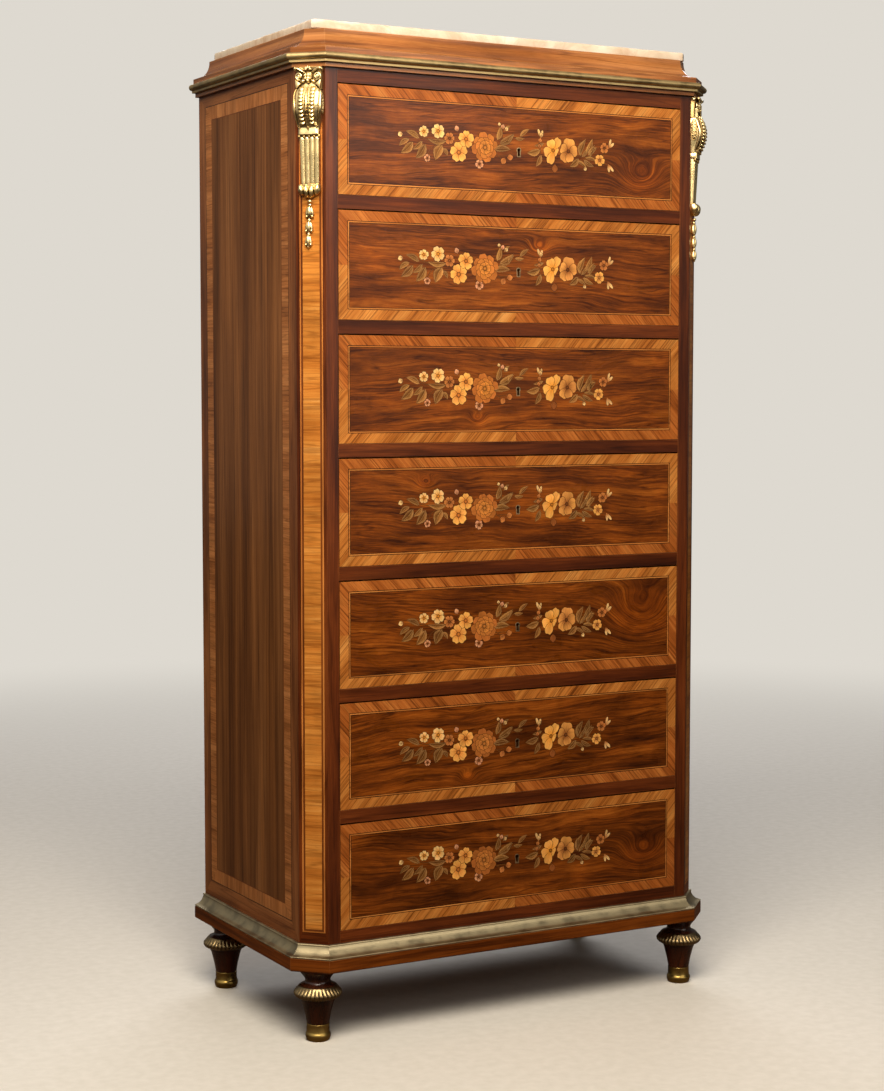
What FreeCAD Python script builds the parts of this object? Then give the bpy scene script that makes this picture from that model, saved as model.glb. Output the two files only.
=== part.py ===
import FreeCAD, Part
import math
import os

# Semainier: a tall chest of seven drawers on four turned feet, with canted front corners,
# a moulded cornice under a marble slab, and gilt mounts on the corners.
# Lengths are in millimetres. The front faces -Y, +Z is up, and the origin lies on the
# floor under the middle of the bounding box.

# Body plan
body_width = 674.0
body_depth = 377.0
cant_leg = 31.0
board_thickness = 18.0
post_depth = 45.0
stile_width = 19.0

# Heights from the floor up
plinth_height = 18.5
cove_height = 19.0
bottom_rail_height = 18.0
drawer_count = 7
drawer_height = 151.0
drawer_separation = 21.5
top_rail_height = 21.5
cornice_height = 55.5
marble_thickness = 13.0

# Base
plinth_projection = 18.0
plinth_chamfer = 1.5
cove_fillet = 1.5
cove_top_projection = 2.0
cove_sag_share = 0.38

# Cornice, as projections from the body's faces and heights above the body
core_setback = 24.0
lower_fillet_projection = 6.0
lower_fillet_height = 6.0
brass_height = 13.0
brass_seat_projection = 2.0
brass_fillet_projection = 11.5
brass_fillet_height = 3.5
brass_projection = 16.5
upper_fillet_projection = 9.0
upper_fillet_height = 8.0
cavetto_top_setback = 17.4
cavetto_sag_share = 0.29
marble_setback = 23.4
marble_cant_leg = 6.0

# Back
back_thickness = 10.0
back_board_count = 4

# Drawer openings, rails, runners, guides and stops
side_gap = 0.7
gap_above_drawer = 1.8
gap_below_drawer = 0.5
rail_depth = 50.0
runner_reach = 22.0
guide_height = 30.0
stop_width = 30.0
stop_depth = 20.0
stop_height = 5.0
stop_inset = 92.0
stop_gap = 0.3

# Drawer boxes
front_thickness = 22.0
side_thickness = 10.0
side_inset = 0.5
side_drop = 9.0
running_gap = 0.3
space_behind_drawer = 27.0
drawer_back_thickness = 10.0
drawer_back_drop = 14.0
bottom_thickness = 6.0
bottom_rise = 10.0
groove_depth = 5.0
tail_count = 4
tail_length = 13.0
tail_width = 21.0
tail_root_width = 15.0
tail_margin = 10.0

# Locks
keyhole_offset = 4.0
keyhole_radius = 2.6
keyhole_slot_width = 3.4
keyhole_slot_drop = 8.4
lining_wall = 1.5
lining_depth = 3.0
lock_width = 56.0
lock_thickness = 10.0
lock_below_keyhole = 22.0
lock_key_depth = 6.0
bolt_width = 18.0
bolt_thickness = 5.0
bolt_length = 38.0
bolt_travel = 7.5
bolt_clearance = 0.3
bolt_recess = 0.4
mortise_clearance = 0.9
mortise_depth = 8.5

# Feet
front_foot_side_inset = 24.5
front_foot_inset = 22.5
back_foot_side_inset = 17.5
back_foot_inset = 39.0
foot_height = 103.5
foot_top_radius = 27.0
collar_seat_radius = 25.5
collar_clearance = 0.2
collar_width = 9.2
collar_top = 80.0
collar_bottom = 62.0
sabot_radius = 18.2
sabot_top = 24.4
sabot_floor = 3.0
sabot_clearance = 0.2
sabot_socket_top_radius = 14.0
sabot_socket_floor_radius = 13.0
# Neck over the collar: shares of the top radius, and of the way up from the collar
neck_shares = (
    (1.0, 1.0),
    (1.0, 0.915),
    (0.948, 0.826),
    (0.833, 0.655),
    (0.711, 0.468),
    (0.674, 0.34),
    (0.681, 0.238),
    (0.733, 0.145),
    (0.837, 0.06),
)
# Tapered stem under the collar: shares of the seat radius, and of the way up from the shoe
stem_shares = (
    (0.98, 0.963),
    (0.933, 0.883),
    (0.886, 0.809),
    (0.808, 0.601),
    (0.722, 0.367),
    (0.643, 0.08),
    (0.6235, 0.0),
)
spigot_radius = 10.0
spigot_length = 22.0
spigot_clearance = 0.3
# Collar: shares of its width, and of its height
collar_shares = (
    (0.1, 1.0),
    (0.402, 0.833),
    (0.815, 0.611),
    (1.0, 0.444),
    (0.967, 0.311),
    (0.761, 0.167),
    (0.435, 0.044),
    (0.27, 0.0),
)
# Shoe: shares of its radius, and of its height
sabot_shares = (
    (0.879, 0.0),
    (0.945, 0.123),
    (0.989, 0.225),
    (1.0, 0.348),
    (0.967, 0.43),
    (0.929, 0.471),
    (0.912, 0.656),
    (0.901, 0.902),
    (0.89, 1.0),
)

# Corner mounts, measured down from the top of the body and out from the cant
mount_width = 39.0
mount_profile = (
    (9.0, 0.0),
    (12.6, 2.0),
    (13.6, 6.0),
    (12.8, 10.0),
    (9.6, 13.5),
    (9.2, 25.0),
    (11.6, 29.0),
    (15.6, 36.0),
    (18.8, 44.0),
    (20.0, 53.0),
    (19.0, 63.0),
    (16.0, 72.0),
    (12.2, 80.0),
    (10.8, 82.5),
)
band_width = 32.0
band_depth = 10.2
band_height = 10.5
shaft_top_width = 29.6
shaft_top_depth = 8.0
shaft_bottom_width = 27.0
shaft_bottom_depth = 4.4
shaft_height = 68.0
flute_count = 4
flute_radius = 2.2
lobe_count = 4
lobe_radius = 4.6
lobe_pitch = 8.0
lobe_height = 19.0
lobe_seat_depth = 8.0
drop_profile = (
    (1.6, 0.0),
    (3.4, 2.2),
    (3.4, 4.6),
    (1.8, 6.8),
    (4.6, 10.0),
    (6.4, 14.0),
    (5.2, 21.0),
    (2.0, 28.4),
    (4.4, 31.4),
    (6.0, 35.4),
    (4.8, 42.0),
    (1.8, 49.4),
    (4.0, 52.2),
    (5.2, 56.0),
    (3.6, 62.0),
    (0.8, 67.6),
)

# How far a cutting tool runs past the face it cuts
overrun = 1.0

# Derived levels, planes and sizes
drawer_pitch = drawer_height + drawer_separation
plinth_top = foot_height + plinth_height
body_bottom = plinth_top + cove_height
drawers_bottom = body_bottom + bottom_rail_height
drawers_top = drawers_bottom + (drawer_count - 1) * drawer_pitch + drawer_height
body_top = drawers_top + top_rail_height
cornice_top = body_top + cornice_height
half_body = body_width / 2
drawer_width = body_width - 2 * cant_leg - 2 * stile_width
drawer_length = body_depth - back_thickness - space_behind_drawer
overall_depth = body_depth + plinth_projection
back_y = overall_depth / 2
front_y = back_y - body_depth
half_opening = drawer_width / 2 + side_gap
inner_half = half_body - board_thickness
inner_back_y = back_y - back_thickness
leg_growth_share = 2 - math.sqrt(2)

UP = FreeCAD.Vector(0, 0, 1)
ORIGIN = FreeCAD.Vector(0, 0, 0)
SEGMENT_TURN_DEG = 45
LEFT_TURN_DEG = 180
LEFT_CANT_DEG = LEFT_TURN_DEG + SEGMENT_TURN_DEG
RIGHT_CANT_DEG = LEFT_CANT_DEG + 2 * SEGMENT_TURN_DEG


def box(x0, x1, y0, y1, z0, z1):
    return Part.makeBox(x1 - x0, y1 - y0, z1 - z0, FreeCAD.Vector(x0, y0, z0))


def export(name, *solids):
    shape = solids[0]
    if len(solids) > 1:
        shape = Part.makeCompound(list(solids))
    shape.exportStep("parts/" + name + ".step")


def prism(points, z0, z1):
    corners = [FreeCAD.Vector(x, y, z0) for x, y in points]
    return Part.Face(Part.makePolygon(corners + corners[:1])).extrude(UP * (z1 - z0))


def section(start, *legs):
    # A closed face in the XZ plane: each leg is an end point, or a pair of points for an arc.
    edges = []
    here = FreeCAD.Vector(start[0], 0, start[1])
    for leg in legs + (start,):
        curved = isinstance(leg[0], tuple)
        end = leg[1] if curved else leg
        there = FreeCAD.Vector(end[0], 0, end[1])
        if curved:
            middle = FreeCAD.Vector(leg[0][0], 0, leg[0][1])
            edges.append(Part.Arc(here, middle, there).toShape())
        else:
            edges.append(Part.makeLine(here, there))
        here = there
    return Part.Face(Part.Wire(edges))


def turned(points, degrees=360, start_degrees=0):
    corners = [FreeCAD.Vector(r, 0, z) for r, z in points]
    face = Part.Face(Part.makePolygon(corners + corners[:1]))
    face.rotate(ORIGIN, UP, start_degrees)
    return face.revolve(ORIGIN, UP, degrees)


def moved(shape, x, y, z):
    copy = shape.copy()
    copy.translate(FreeCAD.Vector(x, y, z))
    return copy


def mirrored(shape):
    return shape.mirror(ORIGIN, FreeCAD.Vector(1, 0, 0))


# Body outline, moved out from the body's faces by an offset, from the left back to the right back

def outline(offset):
    half = half_body + offset
    leg = cant_leg + offset * leg_growth_share
    front = front_y - offset
    left = [(-half, back_y), (-half, front + leg), (-half + leg, front)]
    return left + [(-x, y) for x, y in reversed(left)]


def moulding(face, inner, outer):
    # Mitred lengths along the left side, left cant, front, right cant and right side.
    inside = outline(inner)
    outside = outline(outer)
    on_body = outline(0)
    bounds = face.BoundBox
    reach = outer - inner
    lengths = []
    for i in range(len(on_body) - 1):
        begin = FreeCAD.Vector(*on_body[i], 0)
        end = FreeCAD.Vector(*on_body[i + 1], 0)
        along = (end - begin).normalize()
        run = (end - begin).Length + 2 * reach
        strip = face.extrude(FreeCAD.Vector(0, run, 0))
        strip.rotate(ORIGIN, UP, LEFT_TURN_DEG + i * SEGMENT_TURN_DEG)
        strip.translate(begin - along * reach)
        area = [inside[i], outside[i], outside[i + 1], inside[i + 1]]
        lengths.append(strip.common(prism(area, bounds.ZMin, bounds.ZMax)).Solids[0])
    return lengths


# Base: core board, wooden plinth moulding and brass cove

def base_board():
    board = prism(outline(0), foot_height, body_bottom)
    for x, y in foot_places():
        socket = Part.makeCylinder(
            spigot_radius + spigot_clearance,
            spigot_length + spigot_clearance + overrun,
            FreeCAD.Vector(x, y, foot_height - overrun),
        )
        board = board.cut(socket)
    return board


def plinth_moulding():
    face = section(
        (0, foot_height),
        (plinth_projection - plinth_chamfer, foot_height),
        (plinth_projection, foot_height + plinth_chamfer),
        (plinth_projection, plinth_top),
        (0, plinth_top),
    )
    return moulding(face, 0, plinth_projection)


def base_cove():
    low = (plinth_projection, plinth_top + cove_fillet)
    high = (cove_top_projection, body_bottom - cove_fillet)
    run = low[0] - high[0]
    rise = high[1] - low[1]
    sag = (high[0] + run * cove_sag_share, low[1] + rise * cove_sag_share)
    face = section(
        (0, plinth_top),
        (plinth_projection, plinth_top),
        low,
        (sag, high),
        (cove_top_projection, body_bottom),
        (0, body_bottom),
    )
    return moulding(face, 0, plinth_projection)


# Feet: turned legs, brass collars and brass sabots

def foot_places():
    front = front_y + front_foot_inset
    back = back_y - back_foot_inset
    places = []
    for side in (-1, 1):
        places.append((side * (half_body - front_foot_side_inset), front))
        places.append((side * (half_body - back_foot_side_inset), back))
    return places


def foot_leg():
    neck_height = foot_height - collar_top
    stem_height = collar_bottom - sabot_top
    profile = [(0, foot_height)]
    profile += [(foot_top_radius * r, collar_top + neck_height * z) for r, z in neck_shares]
    profile += [(collar_seat_radius, collar_top), (collar_seat_radius, collar_bottom)]
    profile += [(collar_seat_radius * r, sabot_top + stem_height * z) for r, z in stem_shares]
    profile += [(sabot_socket_top_radius, sabot_top), (sabot_socket_floor_radius, sabot_floor)]
    profile += [(0, sabot_floor)]
    spigot = Part.makeCylinder(spigot_radius, spigot_length, FreeCAD.Vector(0, 0, foot_height))
    return turned(profile).fuse(spigot)


def foot_collar():
    height = collar_top - collar_bottom
    inner_radius = collar_seat_radius + collar_clearance
    profile = [(inner_radius, collar_top)]
    profile += [(collar_seat_radius + collar_width * r, collar_bottom + height * z) for r, z in collar_shares]
    profile += [(inner_radius, collar_bottom)]
    return turned(profile)


def foot_sabot():
    profile = [(0, 0)] + [(sabot_radius * r, sabot_top * z) for r, z in sabot_shares] + [(0, sabot_top)]
    socket_low = sabot_socket_floor_radius + sabot_clearance
    socket_high = sabot_socket_top_radius + sabot_clearance
    rise = sabot_top - sabot_floor
    seat = FreeCAD.Vector(0, 0, sabot_floor)
    return turned(profile).cut(Part.makeCone(socket_low, socket_high, rise, seat))


def at_feet(shape):
    return [moved(shape, x, y, 0) for x, y in foot_places()]


# Carcass: corner posts, sides, back and top

def corner_post():
    plan = (
        (-half_body, front_y + post_depth),
        (-half_body, front_y + cant_leg),
        (-half_body + cant_leg, front_y),
        (-half_opening, front_y),
        (-half_opening, front_y + post_depth),
    )
    return prism(plan, body_bottom, body_top)


def side_panel():
    return box(-half_body, -inner_half, front_y + post_depth, back_y, body_bottom, body_top)


def back_boards():
    width = 2 * inner_half / back_board_count
    boards = []
    for i in range(back_board_count):
        left = -inner_half + i * width
        boards.append(box(left, left + width, inner_back_y, back_y, body_bottom, body_top))
    return boards


def top_board():
    return prism(outline(-core_setback), body_top, cornice_top)


# Cornice and marble slab

def cornice_levels():
    brass_bottom = body_top + lower_fillet_height
    brass_top = brass_bottom + brass_height
    return brass_bottom, brass_top, brass_top + upper_fillet_height


def cornice_moulding():
    brass_bottom, brass_top, cavetto_bottom = cornice_levels()
    run = upper_fillet_projection + cavetto_top_setback
    rise = cornice_top - cavetto_bottom
    sag = (-cavetto_top_setback + run * cavetto_sag_share, cavetto_bottom + rise * cavetto_sag_share)
    face = section(
        (-core_setback, body_top),
        (lower_fillet_projection, body_top),
        (lower_fillet_projection, brass_bottom),
        (brass_seat_projection, brass_bottom),
        (brass_seat_projection, brass_top),
        (upper_fillet_projection, brass_top),
        (upper_fillet_projection, cavetto_bottom),
        (sag, (-cavetto_top_setback, cornice_top)),
        (-core_setback, cornice_top),
    )
    return moulding(face, -core_setback, upper_fillet_projection)


def cornice_brass():
    brass_bottom, brass_top, _ = cornice_levels()
    bead_bottom = brass_bottom + brass_fillet_height
    bead_radius = (brass_top - bead_bottom) / 2
    bead_centre = brass_projection - bead_radius
    face = section(
        (brass_seat_projection, brass_bottom),
        (brass_fillet_projection, brass_bottom),
        (brass_fillet_projection, bead_bottom),
        (bead_centre, bead_bottom),
        ((brass_projection, bead_bottom + bead_radius), (bead_centre, brass_top)),
        (brass_seat_projection, brass_top),
    )
    return moulding(face, brass_seat_projection, brass_projection)


def marble_top():
    half = half_body - marble_setback
    front = front_y + marble_setback
    back = back_y - marble_cant_leg
    leg = marble_cant_leg
    left = [(-half + leg, back), (-half, back - leg), (-half, front + leg), (-half + leg, front)]
    right = [(-x, y) for x, y in reversed(left)]
    return prism(left + right, cornice_top, cornice_top + marble_thickness)


# Drawer bays, numbered from the top: each bay's floor is the top of the rail below it

def bay_floor(index):
    return drawers_top - drawer_height - gap_below_drawer - index * drawer_pitch


def bay_ceiling(index):
    return bay_floor(index) + gap_below_drawer + drawer_height + gap_above_drawer


def bolt_middle_y():
    return front_y + front_thickness - lock_thickness / 2


def rail(low, high, mortised):
    bar = box(-half_opening, half_opening, front_y, front_y + rail_depth, low, high)
    if mortised:
        half_width = bolt_width / 2 + mortise_clearance
        half_thickness = bolt_thickness / 2 + mortise_clearance
        middle = bolt_middle_y()
        bar = bar.cut(box(
            keyhole_offset - half_width,
            keyhole_offset + half_width,
            middle - half_thickness,
            middle + half_thickness,
            low - overrun,
            low + mortise_depth,
        ))
    return bar


def drawer_rails():
    rails = []
    for i in range(drawer_count - 1):
        rails.append(rail(bay_ceiling(i + 1), bay_floor(i), True))
    return rails


def runner_levels(index):
    high = bay_floor(index)
    low = body_bottom
    if index < drawer_count - 1:
        low = bay_ceiling(index + 1)
    return low, high


def runners():
    back_of_rail = front_y + rail_depth
    pieces = []
    for i in range(drawer_count):
        low, high = runner_levels(i)
        left = box(-inner_half, -half_opening + runner_reach, back_of_rail, inner_back_y, low, high)
        pieces += [left, mirrored(left)]
    return pieces


def guides():
    back_of_rail = front_y + rail_depth
    pieces = []
    for i in range(drawer_count):
        low = bay_floor(i)
        left = box(-inner_half, -half_opening, back_of_rail, inner_back_y, low, low + guide_height)
        pieces += [left, mirrored(left)]
    return pieces


def stops():
    front = front_y + front_thickness + stop_gap
    left_edge = -drawer_width / 2 + stop_inset
    pieces = []
    for i in range(drawer_count):
        low = bay_floor(i)
        left = box(left_edge, left_edge + stop_width, front, front + stop_depth, low, low + stop_height)
        pieces += [left, mirrored(left)]
    return pieces


# One drawer, standing in its bay

def keyhole(widening, y0, y1, centre):
    radius = keyhole_radius + widening
    half_slot = keyhole_slot_width / 2 + widening
    drop = keyhole_slot_drop + widening
    eye_start = FreeCAD.Vector(keyhole_offset, y0, centre)
    eye = Part.makeCylinder(radius, y1 - y0, eye_start, FreeCAD.Vector(0, 1, 0))
    slot = box(keyhole_offset - half_slot, keyhole_offset + half_slot, y0, y1, centre - drop, centre)
    return eye.fuse(slot).removeSplitter()


def side_outer():
    return drawer_width / 2 - side_inset


def tails(floor, outer):
    # Dovetails at the front end of the left side, running out to the given outer plane.
    low = floor + running_gap + bottom_rise + bottom_thickness
    high = floor + gap_below_drawer + drawer_height - side_drop
    usable = high - low - 2 * tail_margin
    step = (usable - tail_width) / (tail_count - 1)
    root = front_y + front_thickness
    tip = root - tail_length
    x0 = -outer
    width = outer - side_outer() + side_thickness
    pieces = []
    for i in range(tail_count):
        middle = low + tail_margin + tail_width / 2 + i * step
        corners = [
            FreeCAD.Vector(x0, root, middle - tail_root_width / 2),
            FreeCAD.Vector(x0, tip, middle - tail_width / 2),
            FreeCAD.Vector(x0, tip, middle + tail_width / 2),
            FreeCAD.Vector(x0, root, middle + tail_root_width / 2),
        ]
        face = Part.Face(Part.makePolygon(corners + corners[:1]))
        pieces.append(face.extrude(FreeCAD.Vector(width, 0, 0)))
    return pieces


def bottom_space(floor):
    low = floor + running_gap + bottom_rise
    half = side_outer() - side_thickness + groove_depth
    front = front_y + front_thickness - groove_depth
    return box(-half, half, front, front_y + drawer_length, low, low + bottom_thickness)


def lock_space(floor):
    low = floor + gap_below_drawer
    centre = low + drawer_height / 2
    back = front_y + front_thickness
    return box(
        keyhole_offset - lock_width / 2,
        keyhole_offset + lock_width / 2,
        back - lock_thickness,
        back,
        centre - lock_below_keyhole,
        low + drawer_height,
    )


def drawer_front(floor):
    low = floor + gap_below_drawer
    centre = low + drawer_height / 2
    half = drawer_width / 2
    board = box(-half, half, front_y, front_y + front_thickness, low, low + drawer_height)
    board = board.cut(lock_space(floor)).cut(bottom_space(floor))
    board = board.cut(keyhole(0, front_y - overrun, front_y + front_thickness, centre))
    board = board.cut(keyhole(lining_wall, front_y - overrun, front_y + lining_depth, centre))
    for tail in tails(floor, half + overrun):
        board = board.cut(tail).cut(mirrored(tail))
    return board


def drawer_box(floor):
    low = floor + running_gap
    high = floor + gap_below_drawer + drawer_height - side_drop
    outer = side_outer()
    inner = outer - side_thickness
    root = front_y + front_thickness
    rear = front_y + drawer_length
    side = box(-outer, -inner, root, rear, low, high)
    for tail in tails(floor, outer):
        side = side.fuse(tail)
    side = side.removeSplitter().cut(bottom_space(floor))
    rest = low + bottom_rise + bottom_thickness
    back = box(-inner, inner, rear - drawer_back_thickness, rear, rest, high - drawer_back_drop)
    return [side, mirrored(side), back]


def drawer_lock(floor):
    low = floor + gap_below_drawer
    centre = low + drawer_height / 2
    case_front = front_y + front_thickness - lock_thickness
    case = lock_space(floor).cut(keyhole(0, case_front - overrun, case_front + lock_key_depth, centre))
    half_width = bolt_width / 2 + bolt_clearance
    half_thickness = bolt_thickness / 2 + bolt_clearance
    middle = bolt_middle_y()
    top = low + drawer_height
    case = case.cut(box(
        keyhole_offset - half_width,
        keyhole_offset + half_width,
        middle - half_thickness,
        middle + half_thickness,
        top - bolt_recess - bolt_length - bolt_clearance,
        top + overrun,
    ))
    lining = keyhole(lining_wall, front_y, front_y + lining_depth, centre)
    lining = lining.cut(keyhole(0, front_y - overrun, front_y + lining_depth + overrun, centre))
    return [case, lining]


def lock_bolt(floor):
    top = floor + gap_below_drawer + drawer_height - bolt_recess
    middle = bolt_middle_y()
    return box(
        keyhole_offset - bolt_width / 2,
        keyhole_offset + bolt_width / 2,
        middle - bolt_thickness / 2,
        middle + bolt_thickness / 2,
        top - bolt_length,
        top,
    )


# Gilt mounts on the canted corners, built with X out of the cant and Y along it

def mount_shape():
    head_height = mount_profile[-1][1]
    points = [(0, 0)] + [(x, -z) for x, z in mount_profile] + [(0, -head_height)]
    corners = [FreeCAD.Vector(x, -mount_width / 2, z) for x, z in points]
    shape = Part.Face(Part.makePolygon(corners + corners[:1])).extrude(FreeCAD.Vector(0, mount_width, 0))
    band_bottom = -head_height - band_height
    shape = shape.fuse(box(0, band_depth, -band_width / 2, band_width / 2, band_bottom, -head_height))
    shape = shape.fuse(mount_shaft(band_bottom))
    shape = shape.fuse(mount_lobes(band_bottom - shaft_height))
    return shape.removeSplitter()


def mount_shaft(top):
    bottom = top - shaft_height

    def frame(width, depth, z):
        half = width / 2
        corners = [
            FreeCAD.Vector(0, -half, z),
            FreeCAD.Vector(depth, -half, z),
            FreeCAD.Vector(depth, half, z),
            FreeCAD.Vector(0, half, z),
        ]
        return Part.makePolygon(corners + corners[:1])

    upper = frame(shaft_top_width, shaft_top_depth, top)
    lower = frame(shaft_bottom_width, shaft_bottom_depth, bottom)
    shaft = Part.makeLoft([upper, lower], True, True)
    step = shaft_bottom_width / (flute_count + 1)
    fall = FreeCAD.Vector(shaft_top_depth - shaft_bottom_depth, 0, shaft_height)
    run = fall.Length + 2 * flute_radius
    start = FreeCAD.Vector(shaft_bottom_depth, 0, bottom) - fall.normalize() * flute_radius
    for i in range(flute_count):
        across = FreeCAD.Vector(0, -shaft_bottom_width / 2 + (i + 1) * step, 0)
        shaft = shaft.cut(Part.makeCylinder(flute_radius, run, start + across, fall))
    return shaft


def mount_lobes(top):
    half = (lobe_count - 1) * lobe_pitch / 2
    bottom = top - lobe_height
    shape = box(0, lobe_seat_depth, -half - lobe_radius, half + lobe_radius, bottom, top)
    for i in range(lobe_count):
        foot = FreeCAD.Vector(lobe_seat_depth, -half + i * lobe_pitch, bottom)
        shape = shape.fuse(Part.makeCylinder(lobe_radius, lobe_height, foot))
    return shape


def drop_shape():
    length = drop_profile[-1][1]
    points = ((0, 0),) + tuple((r, -z) for r, z in drop_profile) + ((0, -length),)
    return turned(points, 180, -90)


def on_cant(shape, angle, z):
    side = -1 if angle == LEFT_CANT_DEG else 1
    copy = shape.copy()
    copy.rotate(ORIGIN, UP, angle)
    copy.translate(FreeCAD.Vector(side * (half_body - cant_leg / 2), front_y + cant_leg / 2, z))
    return copy


os.makedirs("parts", exist_ok=True)

export("base_board", base_board())
export("plinth_moulding", *plinth_moulding())
export("base_brass_cove", *base_cove())
export("feet", *at_feet(foot_leg()))
export("foot_collars", *at_feet(foot_collar()))
export("foot_sabots", *at_feet(foot_sabot()))

post = corner_post()
panel = side_panel()
export("left_corner_post", post)
export("right_corner_post", mirrored(post))
export("left_side_panel", panel)
export("right_side_panel", mirrored(panel))
export("back_boards", *back_boards())
export("top_board", top_board())
export("cornice_moulding", *cornice_moulding())
export("cornice_brass_bead", *cornice_brass())
export("marble_top", marble_top())

export("top_rail", rail(bay_ceiling(0), body_top, True))
export("drawer_rails", *drawer_rails())
export("bottom_rail", rail(body_bottom, bay_floor(drawer_count - 1), False))
export("drawer_runners", *runners())
export("drawer_guides", *guides())
export("drawer_stops", *stops())

for number in range(1, drawer_count + 1):
    bay = bay_floor(number - 1)
    name = "drawer_" + str(number)
    export(name + "_front", drawer_front(bay))
    export(name + "_box", *drawer_box(bay))
    export(name + "_bottom", bottom_space(bay))
    export(name + "_lock", *drawer_lock(bay))
    export(name + "_bolt", lock_bolt(bay))

mount = mount_shape()
drop = drop_shape()
drop_top = body_top - mount_profile[-1][1] - band_height - shaft_height - lobe_height
for side_name, cant_angle in (("left", LEFT_CANT_DEG), ("right", RIGHT_CANT_DEG)):
    export(side_name + "_corner_mount", on_cant(mount, cant_angle, body_top))
    export(side_name + "_mount_drop", on_cant(drop, cant_angle, drop_top))
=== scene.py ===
import math
import random

import bmesh
import bpy
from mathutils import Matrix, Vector


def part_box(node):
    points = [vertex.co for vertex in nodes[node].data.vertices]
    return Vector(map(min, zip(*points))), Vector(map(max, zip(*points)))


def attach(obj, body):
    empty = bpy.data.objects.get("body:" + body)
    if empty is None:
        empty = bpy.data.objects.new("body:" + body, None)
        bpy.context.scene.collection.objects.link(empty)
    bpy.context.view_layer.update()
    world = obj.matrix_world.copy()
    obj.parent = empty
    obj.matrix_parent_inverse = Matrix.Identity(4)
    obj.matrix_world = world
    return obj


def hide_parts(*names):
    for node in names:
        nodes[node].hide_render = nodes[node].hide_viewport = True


# Semainier: the veneers, floral marquetry, castings, turned feet and marble of the chest,
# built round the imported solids. Tables are in millimetres; the scene is in metres.

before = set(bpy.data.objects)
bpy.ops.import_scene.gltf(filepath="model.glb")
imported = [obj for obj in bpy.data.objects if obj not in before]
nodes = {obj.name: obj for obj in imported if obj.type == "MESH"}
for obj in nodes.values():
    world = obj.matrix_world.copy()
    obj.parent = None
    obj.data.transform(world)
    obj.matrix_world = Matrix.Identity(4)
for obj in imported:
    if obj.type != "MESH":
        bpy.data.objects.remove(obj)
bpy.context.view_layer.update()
scene = bpy.context.scene
MM = 0.001
UP = Vector((0, 0, 1))
WHITE = (1, 1, 1, 1)
SIDES = (("left", -1), ("right", 1))

# Plan and heights of the body
half_body = 337.0
front_y = -179.5
back_y = 197.5
cant_leg = 31.0
body_bottom = 141.0
body_top = 1366.5
foot_places = ((-312.5, -157.0), (-319.5, 158.5), (312.5, -157.0), (319.5, 158.5))

# Drawers
drawer_count = 7
drawer_half_width = 287.0
drawer_half_height = 75.5
lowest_drawer_z = 234.5
drawer_pitch = 172.5
key_x = 4.0
lining_radius = 4.1
lining_half_slot = 3.2
lining_drop = 9.9

# Veneers: widths across a face, and how far each layer stands above the wood below it
band_width = 14.0
dark_line = 1.0
light_line = 1.5
inner_line = 0.8
veneer_level = 0.14
outline_level = 0.18
petal_level = 0.22
detail_level = 0.26
crown_level = 0.44
bedding = 0.1
cant_half_width = 21.9
cant_lines = (4.9, 6.8, 9.5)
cant_foot = 16.0
side_margin = 25.0
side_top_margin = 17.0
side_foot_margin = 25.0
side_band = 22.0
side_cross_band = 19.5
side_line = 1.2

# Finish: how far wear reaches on arrises, how far darkening reaches into hollows (partly tarnished metal,
# partly painted shade), and the depth of the finest relief
wood_arris = 1.1
brass_arris = 0.6
marble_arris = 2.0
tarnish_and_shade_reach = 3.5
pore_depth = 0.06
grit_depth = 0.05
marble_depth = 0.2


def rgb(red, green, blue):
    """A colour written as it shows on screen, as linear light."""
    made = []
    for part in (red, green, blue):
        share = part / 255
        made.append(share / 12.92 if share <= 0.04045 else ((share + 0.055) / 1.055) ** 2.4)
    return (*made, 1.0)


def palette(*colours):
    return tuple(rgb(*colour) for colour in colours)


def smooth_share(low, high, value):
    share = min(1.0, max(0.0, (value - low) / (high - low)))
    return share * share * (3 - 2 * share)


def between(ends, share):
    return ends[0] + (ends[1] - ends[0]) * share


def mixed(a, b, share):
    return tuple(x + (y - x) * share for x, y in zip(a, b))


def steps(count):
    return [i / count for i in range(count + 1)]


def circle(count):
    return [math.tau * i / count for i in range(count)]


def curve(table, x):
    """A smooth line through a table of (place, value) pairs."""
    if x <= table[0][0]:
        return table[0][1]
    for i in range(len(table) - 1):
        x0, y0 = table[i]
        x1, y1 = table[i + 1]
        if x <= x1:
            before = table[max(i - 1, 0)]
            after = table[min(i + 2, len(table) - 1)]
            slope0 = (y1 - before[1]) / (x1 - before[0])
            slope1 = (after[1] - y0) / (after[0] - x0)
            run = x1 - x0
            t = (x - x0) / run
            rise = (2 * t ** 3 - 3 * t ** 2 + 1) * y0 + (3 * t ** 2 - 2 * t ** 3) * y1
            return rise + run * ((t ** 3 - 2 * t ** 2 + t) * slope0 + (t ** 3 - t ** 2) * slope1)
    return table[-1][1]


def through(points, count):
    """A smooth path through points of equal spacing."""
    places = steps(len(points) - 1)
    axes = [list(zip(places, values)) for values in zip(*points)]
    return [tuple(curve(table, u) for table in axes) for u in steps(count)]


# Materials

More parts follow.
